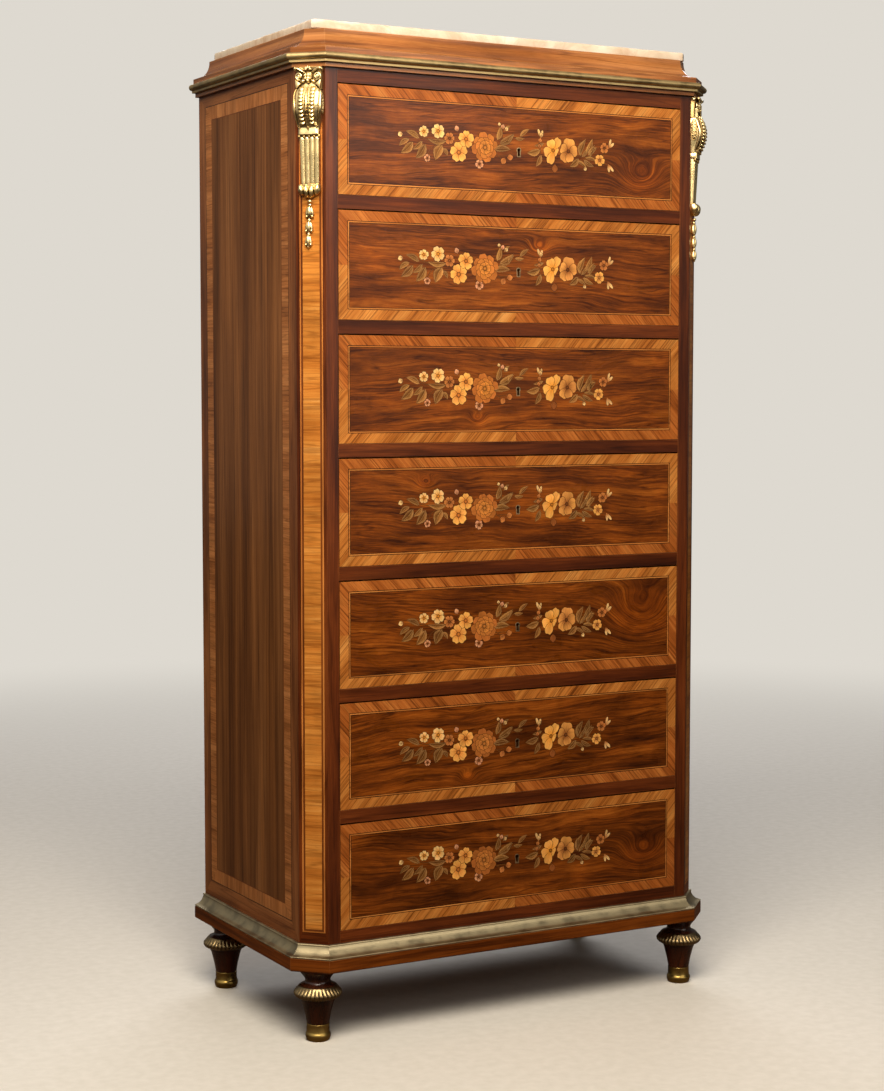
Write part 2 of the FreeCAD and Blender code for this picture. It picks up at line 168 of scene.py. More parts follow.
class Graph:
    """A node tree with one call for each kind of node."""

    def __init__(self, tree):
        self.tree = tree
        tree.nodes.clear()

    def add(self, kind, inputs=(), **settings):
        made = self.tree.nodes.new("ShaderNode" + kind)
        for key, value in settings.items():
            setattr(made, key, value)
        for key, value in dict(inputs).items():
            if isinstance(value, bpy.types.NodeSocket):
                self.tree.links.new(value, made.inputs[key])
            else:
                made.inputs[key].default_value = value
        return made

    def math(self, operation, a, b=0.0):
        return self.add("Math", {0: a, 1: b}, operation=operation).outputs[0]

    def plus(self, a, b):
        return self.math("ADD", a, b)

    def minus(self, a, b):
        return self.math("SUBTRACT", a, b)

    def times(self, a, b):
        return self.math("MULTIPLY", a, b)

    def vector(self, operation, a, b=(0, 0, 0), output="Vector"):
        return self.add("VectorMath", {0: a, 1: b}, operation=operation).outputs[output]

    def dot(self, a, b):
        return self.vector("DOT_PRODUCT", a, b, "Value")

    def length(self, a):
        return self.vector("LENGTH", a, output="Value")

    def place(self):
        return self.add("TexCoord").outputs["Object"]

    def attribute(self, name, output):
        return self.add("Attribute", attribute_name=name).outputs[output]

    def noise(self, place, scales, detail=2.0, roughness=0.5, distortion=0.0):
        """Noise with a scale for each axis; the last one given serves for the rest."""
        inputs = {
            "Vector": self.vector("MULTIPLY", place, (*scales, scales[-1], scales[-1])[:3]),
            "Scale": 1.0,
            "Detail": detail,
            "Roughness": roughness,
            "Distortion": distortion,
        }
        return self.add("TexNoise", inputs).outputs[0]

    def swing(self, noise, reach):
        """Noise about its middle value, spread over a reach."""
        return self.times(self.minus(noise, 0.5), reach)

    def ridge(self, noise):
        """How far noise lies from its middle value: near zero along thin lines."""
        return self.math("ABSOLUTE", self.minus(noise, 0.5))

    def span(self, value, low, high, out_low, out_high):
        inputs = {0: value, 1: low, 2: high, 3: out_low, 4: out_high}
        return self.add("MapRange", inputs, interpolation_type="SMOOTHSTEP").outputs[0]

    def ramp(self, value, stops):
        made = self.add("ValToRGB", {0: value})
        elements = made.color_ramp.elements
        while len(elements) < len(stops):
            elements.new(1.0)
        for element, (place, colour) in zip(elements, stops):
            element.position = place
            element.color = colour
        return made.outputs[0]

    def blend(self, share, a, b, mode="MIX"):
        inputs = {0: share, 6: a, 7: b}
        return self.add("Mix", inputs, data_type="RGBA", blend_type=mode).outputs[2]

    def stained(self, colour, factors):
        return self.blend(1.0, colour, (*factors, 1.0), "MULTIPLY")

    def stain(self, share, colour, factors):
        return self.blend(share, colour, self.stained(colour, factors))

    def edges(self, radius, low, high):
        """A rounded normal, and from its turn how near an arris a point lies."""
        rounded = self.add("Bevel", {"Radius": radius}, samples=4).outputs[0]
        flat = self.add("NewGeometry").outputs["Normal"]
        return rounded, self.span(self.dot(rounded, flat), low, high, 1.0, 0.0)

    def bump(self, height, distance, strength, normal=None):
        inputs = {"Height": height, "Distance": distance, "Strength": strength}
        if normal is not None:
            inputs["Normal"] = normal
        return self.add("Bump", inputs).outputs[0]

    def surface(self, **inputs):
        named = {key.replace("_", " "): value for key, value in inputs.items()}
        self.add("OutputMaterial", {0: self.add("BsdfPrincipled", named).outputs[0]})


def material(name):
    made = bpy.data.materials.new(name)
    made.use_nodes = True
    return made, Graph(made.node_tree)


def sheet_grain(graph):
    return graph.attribute("grain", "Vector")


def solid_grain(*directions):
    """Grain coordinates of a solid board: along, across and into it, as weights on the frame's axes."""
    def coords(graph):
        place = graph.place()
        inputs = {i: graph.dot(place, weights) for i, weights in enumerate(directions)}
        return graph.add("CombineXYZ", inputs).outputs[0]
    return coords


ALONG_X = solid_grain((1, 0, 0), (0, 0, 1), (0, 1, 0))
ALONG_Y = solid_grain((0, 1, 0), (0, 0, 1), (1, 0, 0))
ALONG_Z = solid_grain((0, 0, 1), (1, 0, 0), (0, 1, 0))
ROUND_BODY = solid_grain((1, 0.6, 0), (0, 0, 1), (0, 0, 0))
knot_gold = (1.7, 1.55, 1.2)
patch_shade = (0.2, 0.15, 0.1)
patch_gold = (1.75, 1.7, 1.4)
vein_shade = (0.22, 0.16, 0.13)
streak_shade = (0.34, 0.26, 0.2)
tarnish_and_shade_tint = (0.55, 0.47, 0.36)
pore_colour = (0.012, 0.005, 0.001, 1.0)


def wood(name, coords, tones, flow=(2.0, 6.0, 0.008), ripple=(14.0, 40.0, 0.002), grain=(4.0, 170.0),
         vein=(2.6, 55.0, 0.4), mottle=(5.0, 12.0, 0.2), pores=0.3, rough=0.34, coat=0.1, level=0.08,
         tinted=False, worn=None, streaks=None, patches=None, knots=False, shares=(0.5, 0.33, 0.17)):
    """Polished wood: warped grain, dark veins, a shimmering mottle and fine pores. Some sheets also
    have dark and golden patches, a knot that bends the grain round itself, or crisp dark streaks."""
    made, g = material(name)
    place = coords(g)
    along, across = grain
    waver = g.swing(g.noise(place, ripple[:2], 3.0), ripple[2])
    lift = g.plus(g.swing(g.noise(place, flow[:2]), flow[2]), waver)
    if knots:
        knot = g.attribute("knot", "Vector")
        reach = g.add("SeparateXYZ", {0: knot}).outputs[2]
        flat = g.vector("MULTIPLY", g.vector("SUBTRACT", place, knot), (0.7, 1.0, 0.0))
        size = g.plus(g.math("DIVIDE", g.length(flat), reach), g.times(waver, 14.0))
        rise = g.math("EXPONENT", g.times(g.times(size, size), -1.0))
        lift = g.plus(lift, g.times(g.times(rise, reach), 1.5))
    warped = g.vector("ADD", place, g.add("CombineXYZ", {1: lift}).outputs[0])
    broad = g.noise(warped, (along * 0.6, across * 0.16), 3.0)
    streak = g.noise(warped, grain, 5.0, 0.66)
    fibre = g.noise(warped, (along * 6, across * 7))
    summed = g.plus(g.times(broad, shares[0]), g.times(streak, shares[1]))
    summed = g.plus(summed, g.times(fibre, shares[2]))
    stops = list(zip(steps(len(tones) - 1), tones))
    colour = g.ramp(g.span(summed, 0.3, 0.7, 0.0, 1.0), stops)
    if tinted:
        colour = g.blend(1.0, g.attribute("tint", "Color"), colour, "MULTIPLY")
    if knots:
        colour = g.stain(g.span(rise, 0.1, 0.9, 0.0, 0.7), colour, knot_gold)
    if patches is not None:
        *scales, dark_share, gold_share = patches
        ragged = g.plus(g.noise(warped, scales, 4.0, 0.58, 0.4), g.swing(streak, 0.35))
        colour = g.stain(g.span(ragged, 0.53, 0.72, 0.0, dark_share), colour, patch_shade)
        colour = g.stain(g.span(ragged, 0.46, 0.3, 0.0, gold_share), colour, patch_gold)
    ridge = g.ridge(g.noise(warped, vein[:2], 2.0, 0.55))
    colour = g.stain(g.span(ridge, 0.0, 0.036, vein[2], 0.0), colour, vein_shade)
    if streaks is not None:
        lines = g.noise(warped, streaks[:2], 2.0, 0.6)
        colour = g.stain(g.span(lines, 0.51, 0.64, 0.0, streaks[2]), colour, streak_shade)
    shimmer = g.noise(place, mottle[:2], 3.0, 0.6, 0.6)
    lit = g.span(shimmer, 0.25, 0.75, 1.0 - mottle[2], 1.0 + mottle[2])
    colour = g.add("VectorMath", {0: colour, "Scale": lit}, operation="SCALE").outputs[0]
    pore = g.span(g.noise(place, (along * 20, across * 11), 1.0), 0.6, 0.72, 0.0, 1.0)
    colour = g.blend(g.times(pore, pores), colour, pore_colour)
    roughness = g.plus(g.span(shimmer, 0.2, 0.8, rough - 0.05, rough + 0.05), g.times(pore, 0.16))
    normal = None
    if worn is not None:
        normal, edge = g.edges(wood_arris * MM, 0.9, 0.995)
        patchy = g.span(g.noise(place, (30.0,), 3.0), 0.35, 0.7, 0.1, 0.55)
        colour = g.blend(g.times(edge, patchy), colour, worn)
    height = g.minus(g.times(streak, 0.3), pore)
    g.surface(
        Base_Color=colour,
        Roughness=roughness,
        Specular_IOR_Level=level,
        Coat_Weight=coat,
        Coat_Roughness=0.16,
        Coat_IOR=1.45,
        Normal=g.bump(height, pore_depth * MM, 0.35, normal),
    )
    return made


def metal(name, bright, dark, rough, green=None, lines=None, polish=False):
    """Cast or drawn brass: bright on the high places, dark in the hollows where it is partly tarnished and
    partly painted shade, mottled by age.
    """
    made, g = material(name)
    place = g.place()
    cloud = g.noise(place, (38.0,), 5.0, 0.6)
    # Occlusion darkens the hollows: partly tarnished metal, partly painted shade.
    hollow = g.add("AmbientOcclusion", {"Distance": tarnish_and_shade_reach * MM}, samples=12, only_local=True)
    open_share = g.span(hollow.outputs["AO"], 0.35, 0.95, 0.0, 1.0)
    aged_and_shaded = g.times(open_share, g.span(cloud, 0.25, 0.6, 0.85 if polish else 0.55, 1.0))
    colour = g.blend(aged_and_shaded, dark, bright)
    if green is not None:
        colour = g.blend(g.span(cloud, 0.5, 0.75, 0.0, 0.55), colour, green)
    normal, edge = g.edges(brass_arris * MM, 0.85, 0.995)
    colour = g.blend(g.times(edge, 0.5), colour, bright)
    roughness = g.span(cloud, 0.3, 0.7, rough - 0.07, rough + 0.1)
    if polish:
        burnish = g.attribute("burnish", "Fac")
        roughness = g.minus(roughness, g.times(burnish, 0.12))
        # Little burnish darkens the colour: tarnished matte gilding, and painted shade on the row of beads
        # under the shaft's band.
        colour = g.blend(burnish, g.stained(colour, tarnish_and_shade_tint), colour)
    height = g.noise(place, (900.0,), 3.0)
    if lines is not None:
        height = g.plus(height, g.noise(ROUND_BODY(g), lines, 3.0))
    normal = g.bump(height, grit_depth * MM, 0.12 if polish else 0.4, normal)
    g.surface(Base_Color=colour, Metallic=1.0, Roughness=roughness, Normal=normal)
    return made


marble_tones = palette((182, 154, 126), (210, 192, 168), (222, 209, 190), (198, 174, 146))
marble_veins = (
    ((3.4, 5.0), 7.0, 0.58, 1.2, 0.07, 0.4, rgb(168, 124, 88)),
    ((11.0, 8.0, 14.0), 6.0, 0.65, 1.0, 0.03, 0.22, rgb(176, 142, 108)),
)


def stone(name):
    """Beige marble with cloudy drifts, rusty veins and a worn, soiled edge."""
    made, g = material(name)
    place = g.place()
    drift = g.noise(place, (7.0, 9.0), 6.0, 0.62, 1.4)
    cloud = g.noise(place, (26.0, 30.0), 5.0, 0.6, 0.8)
    stops = list(zip((0.25, 0.45, 0.62, 0.8), marble_tones))
    colour = g.ramp(g.plus(g.times(drift, 0.6), g.times(cloud, 0.4)), stops)
    for scales, detail, roughness, distortion, width, share, tone in marble_veins:
        ridge = g.ridge(g.noise(place, scales, detail, roughness, distortion))
        colour = g.blend(g.span(ridge, 0.0, width, share, 0.0), colour, tone)
    normal, edge = g.edges(marble_arris * MM, 0.85, 0.99)
    chips = g.noise(place, (160.0,), 3.0)
    soiled = g.times(edge, g.span(chips, 0.45, 0.65, 0.0, 0.6))
    colour = g.blend(soiled, colour, rgb(140, 104, 74))
    normal = g.bump(g.plus(cloud, g.times(chips, 0.5)), marble_depth * MM, 0.3, normal)
    roughness = g.span(cloud, 0.3, 0.7, 0.45, 0.6)
    g.surface(Base_Color=colour, Roughness=roughness, Specular_IOR_Level=0.12, Normal=normal)
    return made


walnut = palette((40, 15, 3), (86, 39, 7), (124, 61, 13), (162, 89, 27))
straight_walnut = palette((66, 34, 14), (106, 63, 30), (137, 86, 45), (160, 106, 60))
rosewood = palette((40, 14, 4), (70, 29, 9), (96, 44, 15), (122, 62, 25))
lit_rosewood = palette((76, 38, 16), (114, 64, 31), (142, 86, 46), (164, 106, 60))
tulipwood = palette((136, 74, 24), (171, 100, 39), (190, 120, 53), (205, 143, 74))
dusky_tulipwood = palette((118, 60, 18), (152, 81, 30), (173, 98, 41), (190, 119, 55))
side_tulipwood = palette((140, 82, 38), (182, 115, 62), (206, 138, 80))
satinwood = palette((142, 78, 22), (180, 108, 40), (197, 127, 53), (212, 149, 77))
cornice_tones = palette((90, 48, 20), (130, 76, 36), (160, 102, 54), (184, 124, 70))
plinth_tones = palette((62, 27, 6), (98, 46, 12), (126, 64, 18), (148, 82, 30))
oak = palette((132, 92, 52), (168, 124, 74), (190, 148, 94), (206, 168, 114))
pine = palette((128, 84, 44), (160, 112, 64), (182, 136, 82), (198, 154, 100))
turned_tones = palette((40, 16, 5), (66, 28, 10), (88, 40, 16))
ebony = palette((22, 11, 6), (34, 17, 9), (46, 24, 12))
brown_line_tones = palette((70, 32, 12), (104, 52, 20), (128, 68, 28))
boxwood = palette((160, 90, 36), (186, 114, 50), (206, 136, 66))
plain_tint = palette((205, 205, 205), (235, 235, 235), (255, 255, 255))

patched = {"patches": (2.6, 26.0, 0.6, 0.5)}
rubbed = {"worn": rgb(176, 112, 58)}
band_figure = {
    "flow": (6.0, 20.0, 0.004), "ripple": (30.0, 80.0, 0.001), "grain": (7.0, 330.0),
    "vein": (6.0, 120.0, 0.3), "mottle": (14.0, 30.0, 0.14), "pores": 0.25, "rough": 0.32, "coat": 0.08,
    "streaks": (10.0, 480.0, 0.72),
}
side_band_figure = {
    **band_figure, "vein": (6.0, 120.0, 0.4), "mottle": (14.0, 30.0, 0.16), "rough": 0.38, "coat": 0.14,
    "level": 0.06, "streaks": (10.0, 300.0, 0.4),
}
bare_oak = {"grain": (5.0, 260.0), "pores": 0.5, "coat": 0.0, "worn": rgb(222, 188, 136)}
bare_pine = {
    "flow": (1.5, 5.0, 0.02), "ripple": (6.0, 20.0, 0.004), "grain": (1.6, 90.0), "pores": 0.1, "rough": 0.66,
    "coat": 0.0, "worn": rgb(214, 176, 124),
}
figured = wood(
    "figured_walnut", sheet_grain, walnut, flow=(4.0, 10.0, 0.034), ripple=(15.0, 40.0, 0.008),
    grain=(11.0, 400.0), vein=(5.0, 84.0, 0.6), mottle=(14.0, 30.0, 0.26), pores=0.4, rough=0.3, coat=0.2,
    patches=(5.4, 17.0, 0.7, 0.42), knots=True, shares=(0.4, 0.4, 0.2),
)
side_wood = wood(
    "side_walnut", sheet_grain, straight_walnut, flow=(1.2, 5.0, 0.014), ripple=(8.0, 30.0, 0.002),
    grain=(1.6, 190.0), vein=(1.1, 60.0, 0.35), mottle=(2.0, 14.0, 0.16), pores=0.35, rough=0.4, coat=0.14,
    level=0.06, patches=(0.9, 14.0, 0.5, 0.35),
)
margin_wood = wood("margin_rosewood", sheet_grain, rosewood, **patched)
side_margin_wood = wood("side_margin_rosewood", sheet_grain, lit_rosewood, rough=0.38, coat=0.14, **patched)
banding = wood("banding_tulipwood", sheet_grain, tulipwood, **band_figure)
dusky_banding = wood("dusky_tulipwood", sheet_grain, dusky_tulipwood, **band_figure)
side_banding = wood("side_tulipwood", sheet_grain, side_tulipwood, **side_band_figure)
strip_wood = wood(
    "strip_satinwood", sheet_grain, satinwood, flow=(3.0, 16.0, 0.003), ripple=(20.0, 60.0, 0.001),
    grain=(6.0, 190.0), vein=(4.0, 70.0, 0.4), mottle=(10.0, 9.0, 0.2), pores=0.25, rough=0.32, coat=0.08,
)
dark_string = wood("dark_stringing", sheet_grain, ebony, pores=0.1)
brown_string = wood("brown_stringing", sheet_grain, brown_line_tones, pores=0.1)
light_string = wood("light_stringing", sheet_grain, boxwood, pores=0.15)
inlay_wood = wood(
    "inlay_wood", sheet_grain, plain_tint, flow=(8.0, 20.0, 0.002), ripple=(30.0, 60.0, 0.001),
    grain=(14.0, 420.0), vein=(10.0, 160.0, 0.18), mottle=(30.0, 30.0, 0.08), pores=0.15, rough=0.34,
    coat=0.08, tinted=True,
)
rail_wood = wood("rail_rosewood", ALONG_X, rosewood, coat=0.2, **rubbed, **patched)
post_wood = wood("post_rosewood", ALONG_Z, rosewood, coat=0.34, **rubbed, **patched)
moulding_wood = wood("plinth_walnut", ROUND_BODY, plinth_tones, coat=0.03, level=0.05, **rubbed, **patched)
cornice_wood = wood(
    "cornice_walnut", ROUND_BODY, cornice_tones, flow=(2.4, 9.0, 0.02), ripple=(11.0, 30.0, 0.004),
    grain=(3.4, 150.0), rough=0.3, coat=0.4, worn=rgb(206, 156, 104),
)
front_core = wood("drawer_front_core", ALONG_X, rosewood, **rubbed)
panel_core = wood("side_panel_core", ALONG_Z, straight_walnut, **rubbed)
oak_bare = wood("bare_oak", ROUND_BODY, oak, rough=0.6, **bare_oak)
oak_bottom = wood("bare_oak_bottom", ALONG_X, oak, rough=0.62, **bare_oak)
pine_upright = wood("bare_pine_upright", ALONG_Z, pine, **bare_pine)
pine_level = wood("bare_pine_level", ALONG_X, pine, **bare_pine)
pine_deep = wood("bare_pine_deep", ALONG_Y, pine, **bare_pine)
turned_wood = wood("turned_dark_wood", ALONG_Z, turned_tones, rough=0.26, coat=0.4, level=0.2)

drawn = (6.0, 700.0, 1.0)
gilt = metal("gilt_bronze", rgb(242, 216, 156), rgb(96, 60, 20), 0.4, polish=True)
cove_brass = metal("cove_brass", rgb(176, 160, 125), rgb(80, 66, 43), 0.36, rgb(156, 141, 108), drawn)
bead_brass = metal("bead_brass", rgb(190, 164, 114), rgb(90, 68, 38), 0.42, rgb(142, 126, 86), drawn)
foot_brass = metal("foot_brass", rgb(138, 117, 82), rgb(24, 15, 8), 0.3, rgb(82, 66, 41))
sabot_brass = metal("sabot_brass", rgb(164, 136, 74), rgb(52, 34, 12), 0.32, rgb(108, 84, 38))
lock_brass = metal("lock_brass", rgb(158, 132, 96), rgb(74, 54, 30), 0.36)
lock_steel = metal("lock_steel", rgb(176, 172, 166), rgb(80, 76, 72), 0.34)
marble = stone("beige_marble")


# Pieces

def piece(name, points, faces, body, stuffs):
    mesh = bpy.data.meshes.new(name)
    mesh.from_pydata(points, [], faces)
    for stuff in stuffs:
        mesh.materials.append(stuff)
    mesh.update()
    made = bpy.data.objects.new(name, mesh)
    scene.collection.objects.link(made)
    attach(made, body)
    return made


def closed_form(name, points, faces, stuff, smooth_deg, replaced):
    """A closed piece of the carcass, smooth between its arrises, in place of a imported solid."""
    made = piece(name, points, faces, "carcass", [stuff])
    made.data.shade_smooth()
    made.data.set_sharp_from_angle(angle=math.radians(smooth_deg))
    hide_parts(replaced)
    work = bmesh.new()
    work.from_mesh(made.data)
    bmesh.ops.recalc_face_normals(work, faces=work.faces)
    work.to_mesh(made.data)
    work.free()
    return made


def skinned(points, faces, rings, looped=False):
    """Adds a form through rings of points, with flat ends or with its last ring joined to its first."""
    start = len(points)
    count = len(rings[0])
    for ring in rings:
        points.extend(ring)
    for i in range(len(rings) if looped else len(rings) - 1):
        low = start + i * count
        high = start + (i + 1) % len(rings) * count
        for j in range(count):
            after = (j + 1) % count
            faces.append((low + j, low + after, high + after, high + j))
    if not looped:
        faces.append(tuple(range(start + count - 1, start - 1, -1)))
        faces.append(tuple(range(high, high + count)))


def grain_place(x, y, turn):
    """A place along and across grain that is turned by an angle."""
    return x * math.cos(turn) + y * math.sin(turn), y * math.cos(turn) - x * math.sin(turn)


class Face:
    """Points on one face of the chest, in millimetres to the right, up and out from an origin."""

    def __init__(self, origin, right):
        self.origin = Vector(origin)
        self.right = Vector(right).normalized()
        self.out = self.right.cross(UP)
        self.points = []
        self.faces = []

    def spot(self, right, up, out):
        return (self.origin + self.right * right + UP * up + self.out * out) * MM


ring_seeds = (0.31, 0.17, 0.53)


class Sheet(Face):
    """Thin inlays on one face."""

    def __init__(self, origin, right):
        super().__init__(origin, right)
        self.indices = []
        self.grain = []
        self.tints = []
        self.stuffs = []
        self.knot = (0.0, 0.0, 1.0)

    def point(self, x, y, level, turn, seed, tint):
        self.points.append(self.spot(x, y, level))
        along, across = grain_place(x, y, turn)
        self.grain.extend((along * MM, across * MM, seed))
        self.tints.extend(tint)

    def face(self, corners, stuff):
        if stuff not in self.stuffs:
            self.stuffs.append(stuff)
        self.faces.append(corners)
        self.indices.append(self.stuffs.index(stuff))

    def slab(self, outline, level, stuff, angle=0.0, seed=0.0, tints=None, heart=None):
        """A closed flat inlay. Tints are one for each corner; a heart is a middle point with its own."""
        count = len(outline)
        twice_area = sum(a[0] * b[1] - b[0] * a[1] for a, b in zip(outline, outline[1:] + outline[:1]))
        if tints is None:
            tints = [WHITE] * count
        if twice_area < 0:
            outline = outline[::-1]
            tints = tints[::-1]
        turn = math.radians(angle)
        start = len(self.points)
        for height in (level, -bedding):
            for (x, y), tint in zip(outline, tints):
                self.point(x, y, height, turn, seed, tint)
        if heart:
            self.point(heart[0], heart[1], level, turn, seed, heart[2])
        for i in range(count):
            after = (i + 1) % count
            if heart:
                self.face((start + i, start + after, start + 2 * count), stuff)
            self.face((start + after, start + i, start + count + i, start + count + after), stuff)
        if not heart:
            self.face(tuple(range(start, start + count)), stuff)
        self.face(tuple(range(start + 2 * count - 1, start + count - 1, -1)), stuff)

    def ring(self, half_width, half_height, width, stuffs, seed, angles):
        """A mitred frame of four bands, each in two lengths that meet at its middle. The woods and
        grain angles are those of the quarters where x and y agree in sign and where they don't."""
        inner_x = half_width - width
        inner_y = half_height - width
        level_band = ((0, half_height), (half_width, half_height), (inner_x, inner_y), (0, inner_y))
        upright_band = ((half_width, 0), (half_width, half_height), (inner_x, inner_y), (inner_x, 0))
        for sx in (-1, 1):
            for sy in (-1, 1):
                kind = 0 if sx * sy > 0 else 1
                for part, band in enumerate((level_band, upright_band)):
                    outline = [(sx * x, sy * y) for x, y in band]
                    place = seed + sx * ring_seeds[0] + sy * ring_seeds[1] + part * ring_seeds[2]
                    self.slab(outline, veneer_level, stuffs[kind], angles[kind], place)
        return inner_x, inner_y

    def bordered(self, frames, bands, field, field_angle, seed):
        """A field inside nested frames of (left, right, foot, top). Bands are (wood, grain angle of the
        uprights, shift of the seed); there is none along the top where two frames share it."""
        for outer, inner, (stuff, upright, shift) in zip(frames, frames[1:], bands):
            ax0, ax1, ay0, ay1 = outer
            bx0, bx1, by0, by1 = inner
            lengths = [
                ([(ax0, ay0), (bx0, by0), (bx0, by1), (ax0, ay1)], upright, seed + shift),
                ([(ax1, ay0), (bx1, by0), (bx1, by1), (ax1, ay1)], upright, seed - shift),
                ([(ax0, ay0), (ax1, ay0), (bx1, by0), (bx0, by0)], 90 - upright, seed),
            ]
            if ay1 > by1:
                lengths.append(([(ax0, ay1), (ax1, ay1), (bx1, by1), (bx0, by1)], 90 - upright, seed))
            for outline, angle, place in lengths:
                self.slab(outline, veneer_level, stuff, angle, place)
        x0, x1, y0, y1 = frames[-1]
        self.slab([(x0, y0), (x1, y0), (x1, y1), (x0, y1)], veneer_level, field, field_angle, seed)

    def done(self, name, body, slot):
        made = piece(name, self.points, self.faces, body, self.stuffs)
        made.data.polygons.foreach_set("material_index", self.indices)
        rows = (
            ("grain", "FLOAT_VECTOR", "vector", self.grain),
            ("tint", "FLOAT_COLOR", "color", self.tints),
            ("knot", "FLOAT_VECTOR", "vector", self.knot * len(self.points)),
        )
        for key, kind, field, values in rows:
            made.data.attributes.new(key, kind, "POINT").data.foreach_set(field, values)


# Drawer veneers

drawer_numbers = range(1, drawer_count + 1)
drawer_tilts = (2.0, -1.5, 1.0, -2.0, -3.0, 2.5, -1.0)
drawer_seeds = (5.1, 7.4, 11.1, 14.8, 18.5, 22.2, 25.9)
drawer_knots = ((216, -30, 26), (38, 33, 13), (-64, -42, 9), (-150, 40, 10), (222, 8, 40), (-80, -46, 9),
                (228, -16, 26))
drawer_bands = (
    (band_width, (banding, dusky_banding), (48, 132)),
    (dark_line, (dark_string, dark_string), (0, 0)),
    (light_line, (light_string, light_string), (0, 0)),
    (inner_line, (dark_string, dark_string), (0, 0)),
)
ray_count = 72
tiny = 1e-9


def drawer_sheet(number):
    return Sheet((0, front_y, lowest_drawer_z + (drawer_count - number) * drawer_pitch), (1, 0, 0))


def lining_reach(dx, dy):
    """How far the keyhole lining's outline lies from the middle of its round part."""
    if dy >= 0:
        return lining_radius
    to_foot = lining_drop / -dy
    to_side = lining_half_slot / abs(dx) if abs(dx) > tiny else to_foot
    return max(lining_radius, min(to_side, to_foot))


def holed_field(sheet, half_x, half_y, stuff, angle, seed):
    """A veneer field with an opening round the keyhole lining."""
    foot_angle = math.atan2(lining_drop, lining_half_slot)
    rays = circle(ray_count) + [math.tau - foot_angle, math.pi + foot_angle]
    for x in (-half_x, half_x):
        for y in (-half_y, half_y):
            rays.append(math.atan2(y, x - key_x) % math.tau)
    rays.sort()
    inner = []
    outer = []
    for ray in rays:
        dx = math.cos(ray)
        dy = math.sin(ray)
        reach = lining_reach(dx, dy)
        inner.append((key_x + dx * reach, dy * reach))
        to_side = ((half_x if dx > 0 else -half_x) - key_x) / dx if abs(dx) > tiny else math.inf
        to_edge = (half_y if dy > 0 else -half_y) / dy if abs(dy) > tiny else math.inf
        far = min(to_side, to_edge)
        outer.append((key_x + dx * far, dy * far))
    turn = math.radians(angle)
    start = len(sheet.points)
    count = len(rays)
    for level in (veneer_level, -bedding):
        for x, y in inner + outer:
            sheet.point(x, y, level, turn, seed, WHITE)
    top_in, top_out, low_in, low_out = (start + count * k for k in range(4))
    for i in range(count):
        after = (i + 1) % count
        sheet.face((top_in + i, top_out + i, top_out + after, top_in + after), stuff)
        sheet.face((low_in + i, low_in + after, low_out + after, low_out + i), stuff)
        sheet.face((top_in + i, top_in + after, low_in + after, low_in + i), stuff)
        sheet.face((top_out + after, top_out + i, low_out + i, low_out + after), stuff)


for number, tilt, seed, knot in zip(drawer_numbers, drawer_tilts, drawer_seeds, drawer_knots):
    sheet = drawer_sheet(number)
    along, across = grain_place(knot[0], knot[1], math.radians(tilt))
    sheet.knot = (along * MM, across * MM, knot[2] * MM)
    half = (drawer_half_width, drawer_half_height)
    for width, stuffs, angles in drawer_bands:
        half = sheet.ring(*half, width, stuffs, seed, angles)
    holed_field(sheet, *half, figured, tilt, seed)
    sheet.done(f"drawer_{number}_veneer", f"drawer_{number}", "drawer_veneer")


# Marquetry: one spray of flowers each side of the keyhole, in millimetres from the drawer's middle

cream = rgb(248, 200, 128)
yellow = rgb(250, 178, 88)
gold = rgb(246, 156, 54)
orange = rgb(228, 134, 56)
tan = rgb(204, 124, 62)
brown = rgb(150, 84, 38)
pink = rgb(228, 158, 112)
olive = rgb(136, 84, 34)
pale_leaf = rgb(178, 118, 56)
dark_leaf = rgb(100, 57, 22)
scorch = rgb(56, 27, 12)
outline_width = 0.55
outline_drop = 0.004
petal_step = 0.009
bud_step = 0.012
vein_rise = 0.03
stem_drop = 0.02
petal_vein = (0.26, 0.08)
leaf_rib = (0.5, 0.15)
leaf_vein = (0.24, 0.08)
stem_edge = (1.5, 0.7)
stem_core = (0.8, 0.4)
button_radius = 2.4
petal_points = 18
leaf_points = 12
stem_points = 8
button_points = 12
seed_reach = 40

